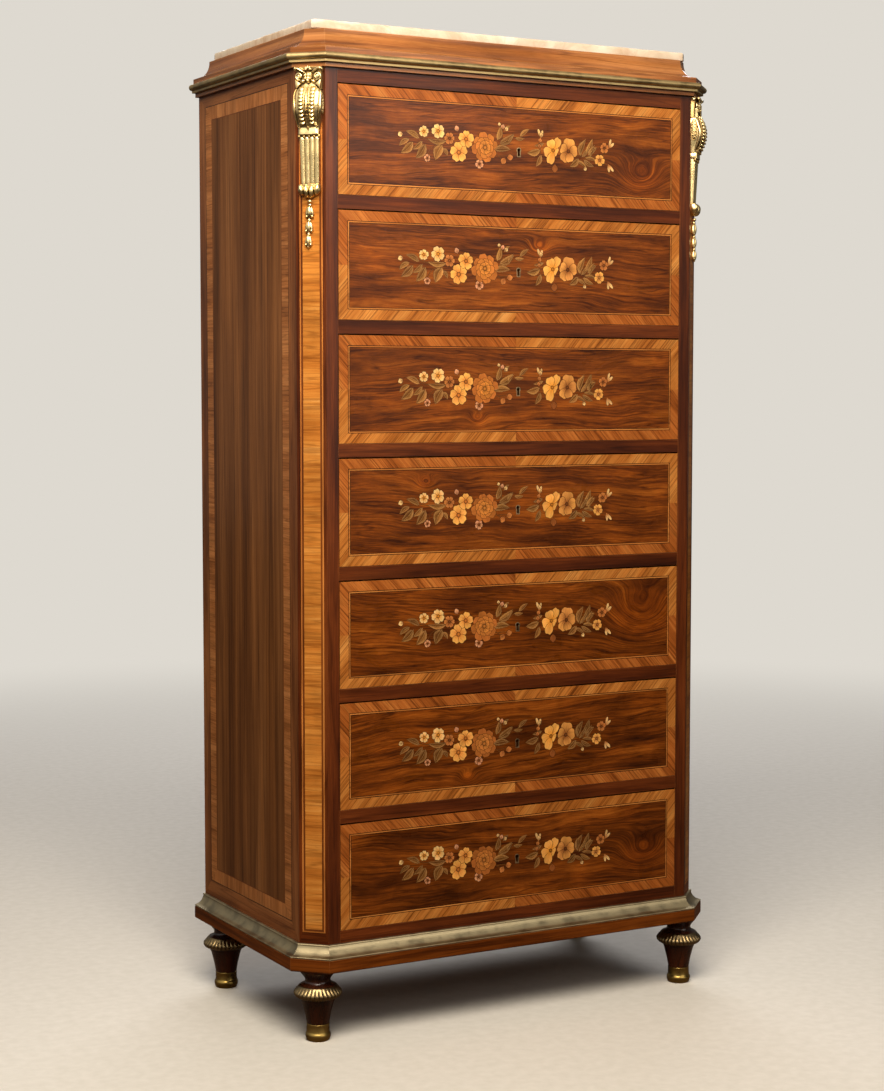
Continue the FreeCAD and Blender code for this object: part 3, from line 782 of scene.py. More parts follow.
flowers = (
    (-152.7, 18.0, 8.0, 5, cream, gold, 10),
    (-129.5, 19.6, 11.0, 5, cream, gold, 40),
    (-111.0, 10.6, 9.0, 6, tan, brown, 0),
    (-84.0, 11.0, 13.0, 5, yellow, orange, 85),
    (-96.0, -8.4, 15.0, 5, yellow, orange, 30),
    (-147.0, -19.0, 5.5, 5, pink, brown, 20),
    (-62.0, -23.0, 7.0, 5, pink, brown, 60),
    (151.0, 11.0, 8.0, 5, tan, brown, 15),
    (143.0, -7.0, 9.0, 5, yellow, tan, 50),
)
leaves = (
    (-170, 2, -189, -14, 6.0, 2.0),
    (-150, 0, -165, -20, 6.5, 2.0),
    (-123, 0, -134, -21, 7.5, -2.0),
    (-121, -4, -114, -14, 3.0, 1.0),
    (-160, 8, -181, 17, 4.2, -2.0),
    (-117, 6, -146, 8, 4.0, 2.5),
    (-37, -1, -10, 0, 5.0, 2.0),
    (-28, 8, -5, 23, 5.5, -2.5),
    (-32, 13, -27, 32, 4.5, -1.5),
    (-20, 26, -11, 34, 2.6, 1.0),
    (41.6, -5, 33, -21.5, 4.0, 1.5),
    (40, 2, 18, -3, 5.0, 2.0),
    (107.5, -1, 118, 22, 4.6, 1.5),
    (119, 2, 130, 23.5, 4.2, -1.5),
    (123, -1, 138, 11, 4.2, 1.5),
    (115, -8, 133, -17, 3.6, -1.5),
    (106, -7, 91, -19, 4.6, 2.0),
    (110, -2, 109, 17, 3.4, 1.5),
    (112, -4, 124, 12, 3.0, -1.0),
    (126, -3, 134, 14, 3.2, 1.0),
    (118, -5, 138, -9, 2.6, 1.5),
    (104, -10, 120, -19, 2.6, 1.0),
    (6, 20, 21, 31, 3.2, 1.0),
    (-2, 17, 13, 17, 2.6, -1.0),
    (-14, 12, -4, 21, 2.8, 1.0),
    (-176, 6, -192, -4, 3.8, -1.5),
    (-155, 4, -170, -8, 3.6, 1.5),
    (46, 12, 30, 8, 2.8, 1.0),
)
buds = (
    (-190, 12, 4.0, 200, cream),
    (-99, 25, 4.2, 110, pink),
    (-23, 32, 3.6, 75, pink),
    (-17, 29, 3.2, 40, cream),
    (-29, 35, 2.6, 100, cream),
    (-22, -16.5, 5.0, 240, tan),
    (-11, -11, 5.0, 10, tan),
    (41.6, 24, 3.4, 100, cream),
    (39.6, 16, 3.4, 70, tan),
    (38.5, 8, 3.4, 90, tan),
    (65, -23, 6.0, 270, brown),
    (117.6, -21, 3.0, 300, cream),
)
stems = (
    ((-178, 15), (-142, 6), (-116, 7), (-100, 2)),
    ((-147, -14), (-140, -4), (-128, 2)),
    ((-30, 2), (-12, 12), (14, 23)),
    ((40, -3), (40, 6), (41, 20)),
    ((100, -2), (125, -3), (150, 2), (160, 8)),
    ((125, -3), (145, -10), (158, -14)),
    ((-24, 14), (-24, 24), (-23, 30)),
    ((-38, -6), (-28, -12), (-24, -15)),
    ((-30, -10), (-20, -9), (-14, -10)),
)
rose = (-52.7, 1.0, 21.0)
rose_turn = 12
pansy_place = (88.0, 3.0)
pansy = ((82, 19.5, 9.8), (160, 14.5, 8.2), (4, 16.5, 8.4), (236, 18.5, 7.6), (284, 16.5, 7.0))
side_rose_place = (62.0, 3.0)
side_rose = ((332, 9.0, 7.0), (59, 21.6, 6.4), (110, 16.5, 7.6), (196, 17.0, 7.6), (252, 21.5, 6.8))
forks = ((159, 11, 62), (158, -12, -62), (41, 19, 96))
fork_petals = ((-20, 12.0), (14, 14.0))
fork_half_width = 1.9
# How pale each drawer's leaves and rose are, from the top drawer down: the darker lower drawers are painted
# shade, and the rest differs from drawer to drawer.
paleness_and_shade_by_drawer = (0.8, 0.9, 0.95, 0.75, 0.68, 0.5, 0.55)


def petal_outline(length, width, notch):
    """Half-widths along a petal: narrow at its root, full towards a softly notched tip."""
    full_share = 0.62
    upper = []
    for u in steps(petal_points):
        if u < full_share:
            half = width * math.sin(math.pi / 2 * u / full_share) ** 1.1
        else:
            half = width * math.sqrt(max(0.0, 1 - ((u - full_share) / (1 - full_share)) ** 2))
        upper.append((length * u, half))
    tip = (length * (1 - notch), 0.0)
    return upper[:-1] + [tip] + [(x, -y) for x, y in reversed(upper[1:-1])]


def turned_points(points, x, y, angle):
    c = math.cos(angle)
    s = math.sin(angle)
    return [(x + px * c - py * s, y + px * s + py * c) for px, py in points]


def grown(points, by):
    """The same outline, moved out from its middle by about the given width."""
    mx = sum(p[0] for p in points) / len(points)
    my = sum(p[1] for p in points) / len(points)
    made = []
    for x, y in points:
        reach = math.hypot(x - mx, y - my) or 1.0
        made.append((x + (x - mx) * by / reach, y + (y - my) * by / reach))
    return made


class Spray:
    """The inlaid flowers of one drawer."""

    def __init__(self, sheet, number):
        self.sheet = sheet
        self.draw = random.Random(number * 41)
        self.paleness_with_shade = paleness_and_shade_by_drawer[number - 1]

    def shade(self, colour, spread=0.1):
        lift = 1 + self.draw.uniform(-spread, spread)
        warm = 1 + self.draw.uniform(-spread, spread) * 0.4
        return (colour[0] * lift, colour[1] * lift * warm, colour[2] * lift, 1.0)

    def cut(self, outline, tints, heart, angle, level=petal_level, edge=scorch):
        dark = [self.shade(edge)] * len(outline)
        seed = self.draw.uniform(0, seed_reach)
        level += self.draw.uniform(0, petal_step / 3)
        self.sheet.slab(grown(outline, outline_width), level - outline_drop, inlay_wood, angle, seed, dark)
        self.sheet.slab(outline, level, inlay_wood, angle, seed, tints, heart)

    def ribbon(self, path, widths, tint, level):
        left = []
        right = []
        last = len(path) - 1
        for i, (x, y) in enumerate(path):
            x0, y0 = path[max(i - 1, 0)]
            x1, y1 = path[min(i + 1, last)]
            run = math.hypot(x1 - x0, y1 - y0) or 1.0
            half = between(widths, i / last) / 2
            nx = -(y1 - y0) / run * half
            ny = (x1 - x0) / run * half
            left.append((x + nx, y + ny))
            right.append((x - nx, y - ny))
        outline = left + right[::-1]
        seed = self.draw.uniform(0, seed_reach)
        self.sheet.slab(outline, level, inlay_wood, 0.0, seed, [tint] * len(outline))

    def petal(self, x, y, angle, length, width, edge, heart, notch=0.1, level=petal_level):
        plain = petal_outline(length, width, notch)
        outline = turned_points(plain, x, y, angle)
        edge = self.shade(edge)
        tints = [mixed(heart, edge, smooth_share(0.05, 0.7, px / length)) for px, py in plain]
        middle = turned_points([(length * 0.55, 0)], x, y, angle)[0]
        self.cut(outline, tints, (*middle, mixed(heart, edge, 0.72)), math.degrees(angle), level)
        for side in (-0.4, 0.0, 0.4):
            vein = [(length * 0.12, side * width * 0.3), (length * 0.62, side * width)]
            tint = mixed(heart, scorch, 0.35)
            self.ribbon(turned_points(vein, x, y, angle), petal_vein, tint, level + vein_rise)

    def flower(self, x, y, radius, petals, edge, heart, turn):
        spin = math.radians(turn + self.draw.uniform(-8, 8))
        for i in range(petals):
            length = radius * self.draw.uniform(0.94, 1.06)
            level = petal_level + petal_step * i
            angle = spin + math.tau * i / petals
            self.petal(x, y, angle, length, length * 2.05 / petals, edge, heart, 0.1, level)
        self.button(x, y, radius * 0.2, heart)

    def blossom(self, x, y, petals, edge, heart):
        """A flower seen from one side: each petal has its own angle, length and half-width."""
        for i, (turn, length, half) in enumerate(petals):
            level = petal_level + petal_step * i
            self.petal(x, y, math.radians(turn), length, half, edge, heart, 0.08, level)
        self.button(x, y, button_radius, mixed(heart, scorch, 0.3))

    def button(self, x, y, radius, tint):
        outline = [(x + math.cos(a) * radius, y + math.sin(a) * radius) for a in circle(button_points)]
        dark = mixed(tint, scorch, 0.7)
        self.cut(outline, [dark] * button_points, (x, y, self.shade(tint)), 0.0, crown_level)

    def rose(self, x, y, radius, edge, heart, turn):
        rings = ((1.08, 8, 0.31, edge), (0.74, 8, 0.36, mixed(edge, heart, 0.4)), (0.46, 6, 0.5, heart))
        for layer, (reach, count, girth, tint) in enumerate(rings):
            for i in range(count):
                angle = math.radians(turn + layer * 26) + math.tau * i / count
                length = radius * reach * self.draw.uniform(0.93, 1.07)
                level = petal_level + petal_step * (layer * count + i)
                root = mixed(tint, scorch, 0.45)
                self.petal(x, y, angle, length, length * girth, tint, root, 0.06, level)
        self.button(x, y, radius * 0.14, heart)

    def leaf(self, x0, y0, x1, y1, width, bend):
        run = math.hypot(x1 - x0, y1 - y0)
        angle = math.atan2(y1 - y0, x1 - x0)
        spine = []
        upper = []
        lower = []
        for i, u in enumerate(steps(leaf_points)):
            half = width * math.sin(math.pi * u ** 0.8) ** 0.9 if 0 < u < 1 else 0.0
            half *= 1 - 0.1 * (i % 2)
            middle = bend * math.sin(math.pi * u)
            spine.append((run * u, middle))
            upper.append((run * u, middle + half))
            lower.append((run * u, middle - half))
        paleness_with_shade = self.paleness_with_shade * self.draw.uniform(0.5, 1.4)
        pale = self.shade(mixed(dark_leaf, pale_leaf, paleness_with_shade))
        deep = self.shade(mixed(dark_leaf, olive, paleness_with_shade))
        for half, tone, side in ((upper, pale, 1), (lower, deep, -1)):
            outline = turned_points(spine + half[-2:0:-1], x0, y0, angle)
            tints = [mixed(tone, scorch, 0.5)] * len(spine) + [mixed(tone, cream, 0.2)] * (len(half) - 2)
            middle = turned_points([(run * 0.5, bend + side * width * 0.5)], x0, y0, angle)[0]
            heart = (*middle, mixed(tone, scorch, 0.15))
            self.cut(outline, tints, heart, math.degrees(angle) + side * 35, edge=mixed(scorch, tone, 0.3))
        self.ribbon(turned_points(spine, x0, y0, angle), leaf_rib, mixed(pale, cream, 0.35), detail_level)
        for i in range(2, leaf_points - 2, 2):
            for half in (upper, lower):
                vein = [spine[i], mixed(spine[i + 2], half[i + 2], 0.8)]
                tint = mixed(deep, scorch, 0.5)
                self.ribbon(turned_points(vein, x0, y0, angle), leaf_vein, tint, detail_level)

    def bud(self, x, y, radius, turn, tint):
        angle = math.radians(turn)
        start = turned_points([(-radius, 0)], x, y, angle)[0]
        heart = mixed(tint, brown, 0.6)
        for lean, share in ((-0.5, 0.85), (0.5, 0.85), (0.0, 1.0)):
            level = petal_level + bud_step * share
            length = radius * 2 * share
            self.petal(*start, angle + lean * 0.55, length, radius * 0.55, tint, heart, 0.0, level)

    def fork(self, x, y, turn):
        for lean, length in fork_petals:
            self.petal(x, y, math.radians(turn + lean), length, fork_half_width, cream, tan, 0.0)

    def stem(self, *points):
        path = []
        for i in range(len(points) - 1):
            before = points[max(i - 1, 0)]
            after = points[min(i + 2, len(points) - 1)]
            for t in steps(stem_points)[:-1]:
                spot = []
                for p0, p1, p2, p3 in zip(before, points[i], points[i + 1], after):
                    bent = (2 * p0 - 5 * p1 + 4 * p2 - p3) * t * t + (3 * p1 - p0 - 3 * p2 + p3) * t ** 3
                    spot.append(p1 + 0.5 * ((p2 - p0) * t + bent))
                path.append(tuple(spot))
        path.append(points[-1])
        self.ribbon(path, stem_edge, scorch, outline_level - stem_drop)
        self.ribbon(path, stem_core, self.shade(mixed(dark_leaf, olive, 0.6)), outline_level)


for number in drawer_numbers:
    sheet = drawer_sheet(number)
    spray = Spray(sheet, number)
    kinds = ((spray.stem, stems), (spray.leaf, leaves), (spray.fork, forks), (spray.bud, buds),
             (spray.flower, flowers))
    for inlay, rows in kinds:
        for row in rows:
            inlay(*row)
    rose_edge = mixed(brown, orange, spray.paleness_with_shade * 0.55)
    rose_heart = mixed(tan, gold, spray.paleness_with_shade * 0.5)
    spray.rose(*rose, rose_edge, rose_heart, rose_turn)
    spray.blossom(*pansy_place, pansy, mixed(tan, yellow, 0.5), brown)
    spray.blossom(*side_rose_place, side_rose, yellow, gold)
    sheet.done(f"drawer_{number}_marquetry", f"drawer_{number}", "drawer_veneer")


# Veneers of the canted corners and the sides

middle_z = (body_bottom + body_top) / 2
half_height = (body_top - body_bottom) / 2
cant_x = half_body - cant_leg / 2
cant_y = front_y + cant_leg / 2
side_front_y = front_y + cant_leg
side_middle_y = (side_front_y + back_y) / 2
side_half = (back_y - side_front_y) / 2
cant_bands = ((margin_wood, 90, -1), (light_string, 90, -1), (brown_string, 90, -1))
side_bands = ((side_margin_wood, 90, 0), (dark_string, 90, 1), (side_banding, 0, 2), (brown_string, 90, 3))
cant_frames = [(-cant_half_width, cant_half_width, -half_height, half_height)]
for inset in cant_lines:
    x1 = cant_half_width - inset
    cant_frames.append((-x1, x1, -half_height + cant_foot + inset - cant_lines[0], half_height))
side_frames = [(-side_half, side_half, -half_height, half_height)]
side_steps = (
    (side_margin, side_foot_margin, side_top_margin),
    (side_line, side_line, side_line),
    (side_band, side_cross_band, side_cross_band),
    (side_line, side_line, side_line),
)
for across, foot, top in side_steps:
    x0, x1, y0, y1 = side_frames[-1]
    side_frames.append((x0 + across, x1 - across, y0 + foot, y1 - top))

for name, sign in SIDES:
    sheet = Sheet((sign * cant_x, cant_y, middle_z), (1, sign, 0))
    sheet.bordered(cant_frames, cant_bands, strip_wood, 0, 61.0 + sign)
    sheet.done(f"{name}_cant_veneer", "carcass", "dark_veneer")
    sheet = Sheet((sign * half_body, side_middle_y, middle_z), (0, sign, 0))
    sheet.bordered(side_frames, side_bands, side_wood, 90, 83.0 + sign)
    sheet.done(f"{name}_side_veneer", "carcass", "side_veneer")


# Castings

cast_smooth_deg = 42
least_half = 0.12


class Cast(Face):
    """A casting of closed forms, in millimetres: s to the right, t down and n out from its seat."""

    def __init__(self, origin, right):
        super().__init__(origin, right)
        self.burnish = []

    def skin(self, rings, burnish):
        """A closed form through rings of (s, t, n) points."""
        placed = [[self.spot(s, -t, n) for s, t, n in ring] for ring in rings]
        skinned(self.points, self.faces, placed)
        self.burnish += [burnish] * (len(rings) * len(rings[0]))

    def ball(self, place, radii, burnish, lean_deg=0.0, rows=9, sides=14):
        turns = circle(sides)
        rings = []
        for u in steps(rows):
            a = math.pi * min(max(u, 0.01), 0.99)
            level = [(radii[0] * math.sin(a) * math.cos(b), -radii[1] * math.cos(a)) for b in turns]
            level = turned_points(level, place[0], place[1], math.radians(lean_deg))
            outs = [place[2] + radii[2] * math.sin(a) * math.sin(b) for b in turns]
            rings.append([(s, t, n) for (s, t), n in zip(level, outs)])
        self.skin(rings, burnish)

    def tube(self, path, radii, burnish, sides=10):
        places = [Vector(p) for p in path]
        last = len(places) - 1
        side = (places[1] - places[0]).normalized().orthogonal()
        rings = []
        for i, place in enumerate(places):
            ahead = (places[min(i + 1, last)] - places[max(i - 1, 0)]).normalized()
            side = (side - ahead * side.dot(ahead)).normalized()
            other = ahead.cross(side)
            spokes = [side * math.cos(b) + other * math.sin(b) for b in circle(sides)]
            rings.append([place + spoke * radii[i] for spoke in spokes])
        self.skin(rings, burnish)

    def block(self, sections, burnish, boxy=5.0, columns=30):
        """A D-shaped form lying on its seat: sections are (t, half-width, depth)."""
        rings = []
        for t, half, depth in sections:
            ring = []
            for u in steps(columns):
                a = math.pi * (1 - u)
                c = math.cos(a)
                s = math.copysign(abs(c) ** (2 / boxy), c) * half
                ring.append((s, t, depth * abs(math.sin(a)) ** (2 / boxy)))
            rings.append(ring)
        self.skin(rings, burnish)

    def relief(self, path, widths, heights, form, burnish, sink=1.5, columns=11):
        """A raised form along a path of (s, t, n): its section is a form over -1 to 1."""
        last = len(path) - 1
        rings = []
        for i, (s, t, n) in enumerate(path):
            s0, t0 = path[max(i - 1, 0)][:2]
            s1, t1 = path[min(i + 1, last)][:2]
            half = max(widths[i], least_half) / math.hypot(s1 - s0, t1 - t0)
            section = [(2 * u - 1, heights[i] * form(i / last, 2 * u - 1)) for u in steps(columns - 1)]
            section += [(1, -sink), (-1, -sink)]
            ring = [(s + (t0 - t1) * half * v, t + (s1 - s0) * half * v, n + lift) for v, lift in section]
            rings.append(ring)
        self.skin(rings, burnish)

    def done(self, name, slot, stuff, replaced):
        made = closed_form(name, self.points, self.faces, stuff, cast_smooth_deg, replaced)
        made.data.attributes.new("burnish", "FLOAT", "POINT").data.foreach_set("value", self.burnish)


def round_form(u, v):
    return math.sqrt(max(0.0, 1 - v * v))


def leaf_form(u, v):
    """A chased leaf: a sunk midrib, and ribs that sweep out to the edge."""
    ribs = 0.8 + 0.2 * math.cos(math.tau * 5 * u - 6 * abs(v))
    midrib = 1 - 0.45 * math.exp(-(v / 0.16) ** 2)
    return (1 - abs(v) ** 2.4) * ribs * midrib


def mask_form(u, v):
    """A small chased leaf of three lobes."""
    lobes = 0.78 + 0.22 * math.cos(math.tau * 1.5 * v)
    return round_form(u, v) * lobes * (0.85 + 0.15 * math.cos(math.tau * 3 * u))


def keel_form(u, v):
    return 1 - abs(v) ** 1.3


# Blocks of a mount, from its head down: (t, half-width, depth)
head_sections = ((0.4, 19.4, 9.2), (2.0, 19.8, 10.0), (3.2, 19.0, 8.8), (8.0, 18.4, 8.0), (14.0, 18.6, 7.4),
                 (22.0, 18.8, 7.0), (31.0, 18.4, 7.0))
console_depths = ((23.0, 7.4), (27.0, 9.0), (31.0, 11.6), (37.0, 14.8), (45.0, 17.2), (53.0, 18.0),
                  (63.0, 17.0), (72.0, 14.2), (80.0, 10.8), (84.0, 9.6))
console_halves = ((23.0, 10.6), (27.0, 13.8), (31.0, 17.4), (36.0, 18.9), (45.0, 19.2), (58.0, 18.8),
                  (70.0, 17.4), (84.0, 15.8))
band_sections = ((82.8, 14.6, 9.2), (83.5, 15.2, 9.8), (92.1, 15.2, 9.8), (92.9, 14.6, 9.0))
base_sections = ((159.8, 13.8, 6.0), (163.0, 14.8, 8.6), (169.0, 13.8, 8.4), (175.0, 9.2, 5.6),
                 (178.4, 3.0, 2.4))

# Balls of a mount: place, radii, burnish, lean in degrees, rows and sides. The halves of a mount mirror
# each other, so a form away from the middle stands on both.
mount_balls = (
    ((0, 19.6, 12.0), (2.2, 1.9, 1.7), 1.0),
    ((18.2, 3.2, 11.6), (2.1, 2.2, 2.0), 0.95),
    ((18.6, 3.6, 4.2), (1.6, 2.8, 3.0), 0.8),
    ((13.2, 13.2, 9.8), (1.8, 1.8, 1.8), 1.0),
    ((4.0, 169.0, 4.6), (4.3, 9.4, 8.0), 0.95, 4.0, 12, 18),
    ((11.6, 167.2, 4.2), (4.3, 8.4, 7.4), 0.95, 14.0, 12, 18),
    ((14.6, 167.4, 5.4), (1.8, 4.2, 3.8), 0.6),
)

# Leaves of a mount: path, steps, least half-width and swell, start and run of the swell, its power,
# share and number of lobes along the edge, height, section and burnish
mount_leaves = (
    (((0, 8.2, 8.6), (0, 12.5, 9.4), (0, 17.0, 9.4), (0, 22.6, 8.4)),
     22, (0.0, 6.6), (0.22, 0.75), 0.8, (0.0, 0), 4.4, mask_form, 0.85),
    (((5.0, 5.6, 9.4), (10.0, 2.8, 10.4), (15.0, 1.4, 10.4)),
     14, (0.0, 2.0), (0.1, 0.85), 1.0, (0.0, 0), 1.8, leaf_form, 0.4),
    (((4.6, 19.0, 8.8), (7.6, 20.2, 9.8), (11.0, 22.0, 9.0)),
     12, (0.0, 1.9), (0.12, 0.86), 1.0, (0.0, 0), 2.4, round_form, 1.0),
    (((4.5, 74.0, 13.2), (9.0, 77.6, 11.4), (12.4, 81.0, 10.2), (12.6, 84.8, 9.8)),
     16, (0.0, 3.2), (0.1, 0.86), 1.0, (0.15, 4), 2.2, leaf_form, 0.1),
    (((0, 66.0, 16.2), (0, 71.0, 14.6), (0, 76.0, 12.4), (0, 81.5, 10.4), (0, 86.2, 10.0)),
     22, (1.0, 4.4), (0.12, 0.86), 1.0, (0.14, 5), 2.2, leaf_form, 0.1),
)

# Head: a fan of petals, horns, scrolls and sunk triangles
fan_count = 5
fan_step_deg = 42
fan_reach = (3.4, 2.6)
fan_middle = (4.4, 10.6)
fan_radii = (1.5, 2.6, 1.9)
horn = ((4.4, 9.2, 9.4), (9.0, 6.4, 11.0), (14.0, 3.4, 12.0), (18.4, 2.0, 12.4))
horn_steps = 18
horn_radii = (0.9, 0.7)
scroll_eye = (13.2, 13.2)
scroll_turns = 1.6
scroll_start = -0.6 * math.pi
scroll_reach = (5.3, 1.2)
scroll_rise = (8.4, 10.4)
scroll_radii = (1.5, 1.0)
scroll_steps = 44
triangle = ((18.9, 17.4), (17.6, 31.2), (10.8, 23.4))
triangle_rings = ((1.0, 6.6), (1.0, 9.4), (0.9, 10.4), (0.8, 10.6))

# Console: a keel between two strings of coins, beaded rims, and a studded medal on each cheek
console_span = (23.0, 84.0)
console_steps = 40
keel_span = (28.0, 65.0)
keel_half = 3.5
keel_height = 3.4
keel_seat = -0.3
keel_steps = 24
coin_count = 10
coin_radius = 3.5
coin_tilt = math.radians(30)
coin_sides = 18
coin_rings = ((0.7, -1.8), (1.0, -0.8), (1.0, 0.3), (0.86, 0.9), (0.5, 1.2), (0.12, 1.3))
coin_span = (31.0, 76.6)
coin_seat = 1.1
lane_middle = 8.4
lane_bend = 1.7
lane_span = (27.5, 79.5)
lane_half = 4.5
lane_height = 0.4
lane_seat = -0.1
rim_span = (31.0, 82.0)
rim_inset = 0.8
rim_radius = 0.6
cheek_inset = 0.7
cheek_radii = (0.5, 2.2)
edge_steps = 30
medal_place = (18.3, 49.5, 4.9)
medal_radii = (1.9, 15.6, 4.5)
hoop_s = 19.0
hoop_radius = 0.6
hoop_steps = 40
stud_count = 26
stud_s = 20.3
stud_fall = 1.4
stud_radii = (0.6, 1.0, 0.7)
golden_angle = 2.4

# Shaft: four reeds under a row of beads, and the roll at its foot
shaft_span = (93.0, 161.0)
shaft_halves = (14.8, 13.4)
shaft_depths = (5.8, 2.4)
shaft_steps = 20
reed_places = (-0.735, -0.245, 0.245, 0.735)
reed_half = 3.4
reed_height = 1.7
reed_start = 94.2
reed_seat = -0.2
reed_sink = 1.0
reed_steps = 40
bead_count = 5
bead_spacing = 0.49 * shaft_halves[0]
bead_place = (94.6, 6.6)
bead_radii = (2.0, 2.8, 1.6)
roll_t = 160.6
roll_half = 13.8
roll_depth = 6.6
roll_seat = 0.4
roll_radius = 1.1
roll_steps = 24

# Husk drop: a bud, then bellflowers of (top, length, half-width)
drop_span = (180.0, 247.6)
drop_lean = 3.0
husks = ((186.4, 22.0, 6.4), (207.2, 20.5, 6.0), (226.6, 20.0, 5.4))
husk_bud = (183.4, 3.4)
husk_bud_radii = (3.3, 2.9, 3.2)
husk_middle = 11.0
calyx_place = (2.0, 3.0)
calyx_radius = 2.6
petal_seat = 2.4
petal_depth = 3.0
petal_lean_deg = 9
petal_rows = 12
tip_run = 16.0
tip_seat = 3.2
tip_radii = (1.7, 2.3, 2.2)
front_seat = 3.8
front_depth = 3.4
drop_radii = (1.8, 2.2, 2.1)


def halves(s):
    return (-1, 1) if s else (1,)


def mount_ornament(cast):
    """The balls and leaves of a mount."""
    for (s, t, n), radii, burnish, *rest in mount_balls:
        lean, *counts = rest or [0.0]
        for side in halves(s):
            cast.ball((side * s, t, n), radii, burnish, side * lean, *counts)
    for path, count, (least, swell), (start, run), power, (lobe_share, lobes), *look in mount_leaves:
        height, form, burnish = look
        widths = []
        for u in steps(count):
            scallop = 1 - lobe_share + lobe_share * math.cos(math.tau * lobes * u)
            widths.append((least + swell * math.sin(math.pi * (start + run * u)) ** power) * scallop)
        for side in halves(path[0][0]):
            laid = through([(side * s, t, n) for s, t, n in path], count)
            cast.relief(laid, widths, [height] * len(laid), form, burnish)


def mount_head(cast):
    cast.block(head_sections, 0.05)
    for k in range(fan_count):
        lean = (k - fan_count // 2) * fan_step_deg
        a = math.radians(90 + lean)
        place = (fan_reach[0] * math.cos(a), fan_middle[0] - fan_reach[1] * math.sin(a), fan_middle[1])
        cast.ball(place, fan_radii, 0.9, -lean)
    middle = [sum(corner[a] for corner in triangle) / len(triangle) for a in (0, 1)]
    for side in (-1, 1):
        girths = [horn_radii[0] + horn_radii[1] * math.sin(math.pi * u) for u in steps(horn_steps)]
        cast.tube(through([(side * s, t, n) for s, t, n in horn], horn_steps), girths, 1.0)
        scroll = []
        for u in steps(scroll_steps):
            a = math.tau * scroll_turns * u + scroll_start
            reach = between(scroll_reach, u)
            s = scroll_eye[0] + reach * math.cos(a)
            scroll.append((side * s, scroll_eye[1] - reach * math.sin(a), between(scroll_rise, u)))
        cast.tube(scroll, [between(scroll_radii, u) for u in steps(scroll_steps)], 0.9)
        rings = []
        for share, n in triangle_rings:
            ring = [mixed(middle, corner, share) for corner in triangle]
            rings.append([(side * s, t, n) for s, t in ring])
        cast.skin(rings, 1.0)


def on_console(side, t, u, seat):
    """A place on the lane of a string of coins."""
    return side * (lane_middle - lane_bend * u * u), t, curve(console_depths, t) + seat


def coin(cast, s, t, n):
    """One of a string of overlapping coins, its lower edge lifted."""
    rings = []
    for share, rise in coin_rings:
        ring = []
        for a in circle(coin_sides):
            down = coin_radius * share * math.sin(a)
            ring.append((s + coin_radius * share * math.cos(a),
                         t + down * math.cos(coin_tilt) - rise * math.sin(coin_tilt),
                         n + down * math.sin(coin_tilt) + rise * math.cos(coin_tilt)))
        rings.append(ring)
    cast.skin(rings, 0.9)


def on_medal(side, s, share, a):
    """A place over the medal of one cheek, at a share of its size and an angle round it."""
    t = medal_place[1] + medal_radii[1] * share * math.sin(a)
    return side * s, t, medal_place[2] + medal_radii[2] * share * math.cos(a)


def mount_console(cast):
    places = [between(console_span, u) for u in steps(console_steps)]
    sections = [(t, curve(console_halves, t), curve(console_depths, t)) for t in places]
    cast.block(sections, 1.0, boxy=5.5, columns=40)
    places = [between(keel_span, u) for u in steps(keel_steps)]
    keel = [(0.0, t, curve(console_depths, t) + keel_seat) for t in places]
    widths = [keel_half * math.sin(math.pi * u) ** 0.8 for u in steps(keel_steps)]
    cast.relief(keel, widths, [keel_height] * len(keel), keel_form, 1.0)
    for side in (-1, 1):
        for u in steps(coin_count - 1):
            coin(cast, *on_console(side, between(coin_span, u), u, coin_seat))
        lane = [on_console(side, between(lane_span, u), u, lane_seat) for u in steps(edge_steps)]
        cast.relief(lane, [lane_half] * len(lane), [lane_height] * len(lane), round_form, 0.0)
        rim = []
        cheek = []
        for u in steps(edge_steps):
            t = between(rim_span, u)
            half = curve(console_halves, t)
            depth = curve(console_depths, t)
            rim.append((side * (half - rim_inset), t, depth * 0.97))
            cheek.append((side * (half - cheek_inset), t, depth * (0.7 - 0.08 * math.cos(math.tau * u))))
        cast.tube(rim, [rim_radius] * len(rim), 0.1, sides=8)
        girths = [cheek_radii[0] + cheek_radii[1] * math.sin(math.pi * u) ** 0.7 for u in steps(edge_steps)]
        cast.tube(cheek, girths, 1.0)
        cast.ball((side * medal_place[0], *medal_place[1:]), medal_radii, 0.35)
        hoop = [on_medal(side, hoop_s, 1.0, math.tau * u) for u in steps(hoop_steps)]
        cast.tube(hoop, [hoop_radius] * len(hoop), 0.0, sides=8)
        for k in range(stud_count):
            share = math.sqrt((k + 0.5) / stud_count) * 0.84
            spot = on_medal(side, stud_s - stud_fall * share ** 3, share, k * golden_angle)
            cast.ball(spot, stud_radii, 0.9, rows=6, sides=8)


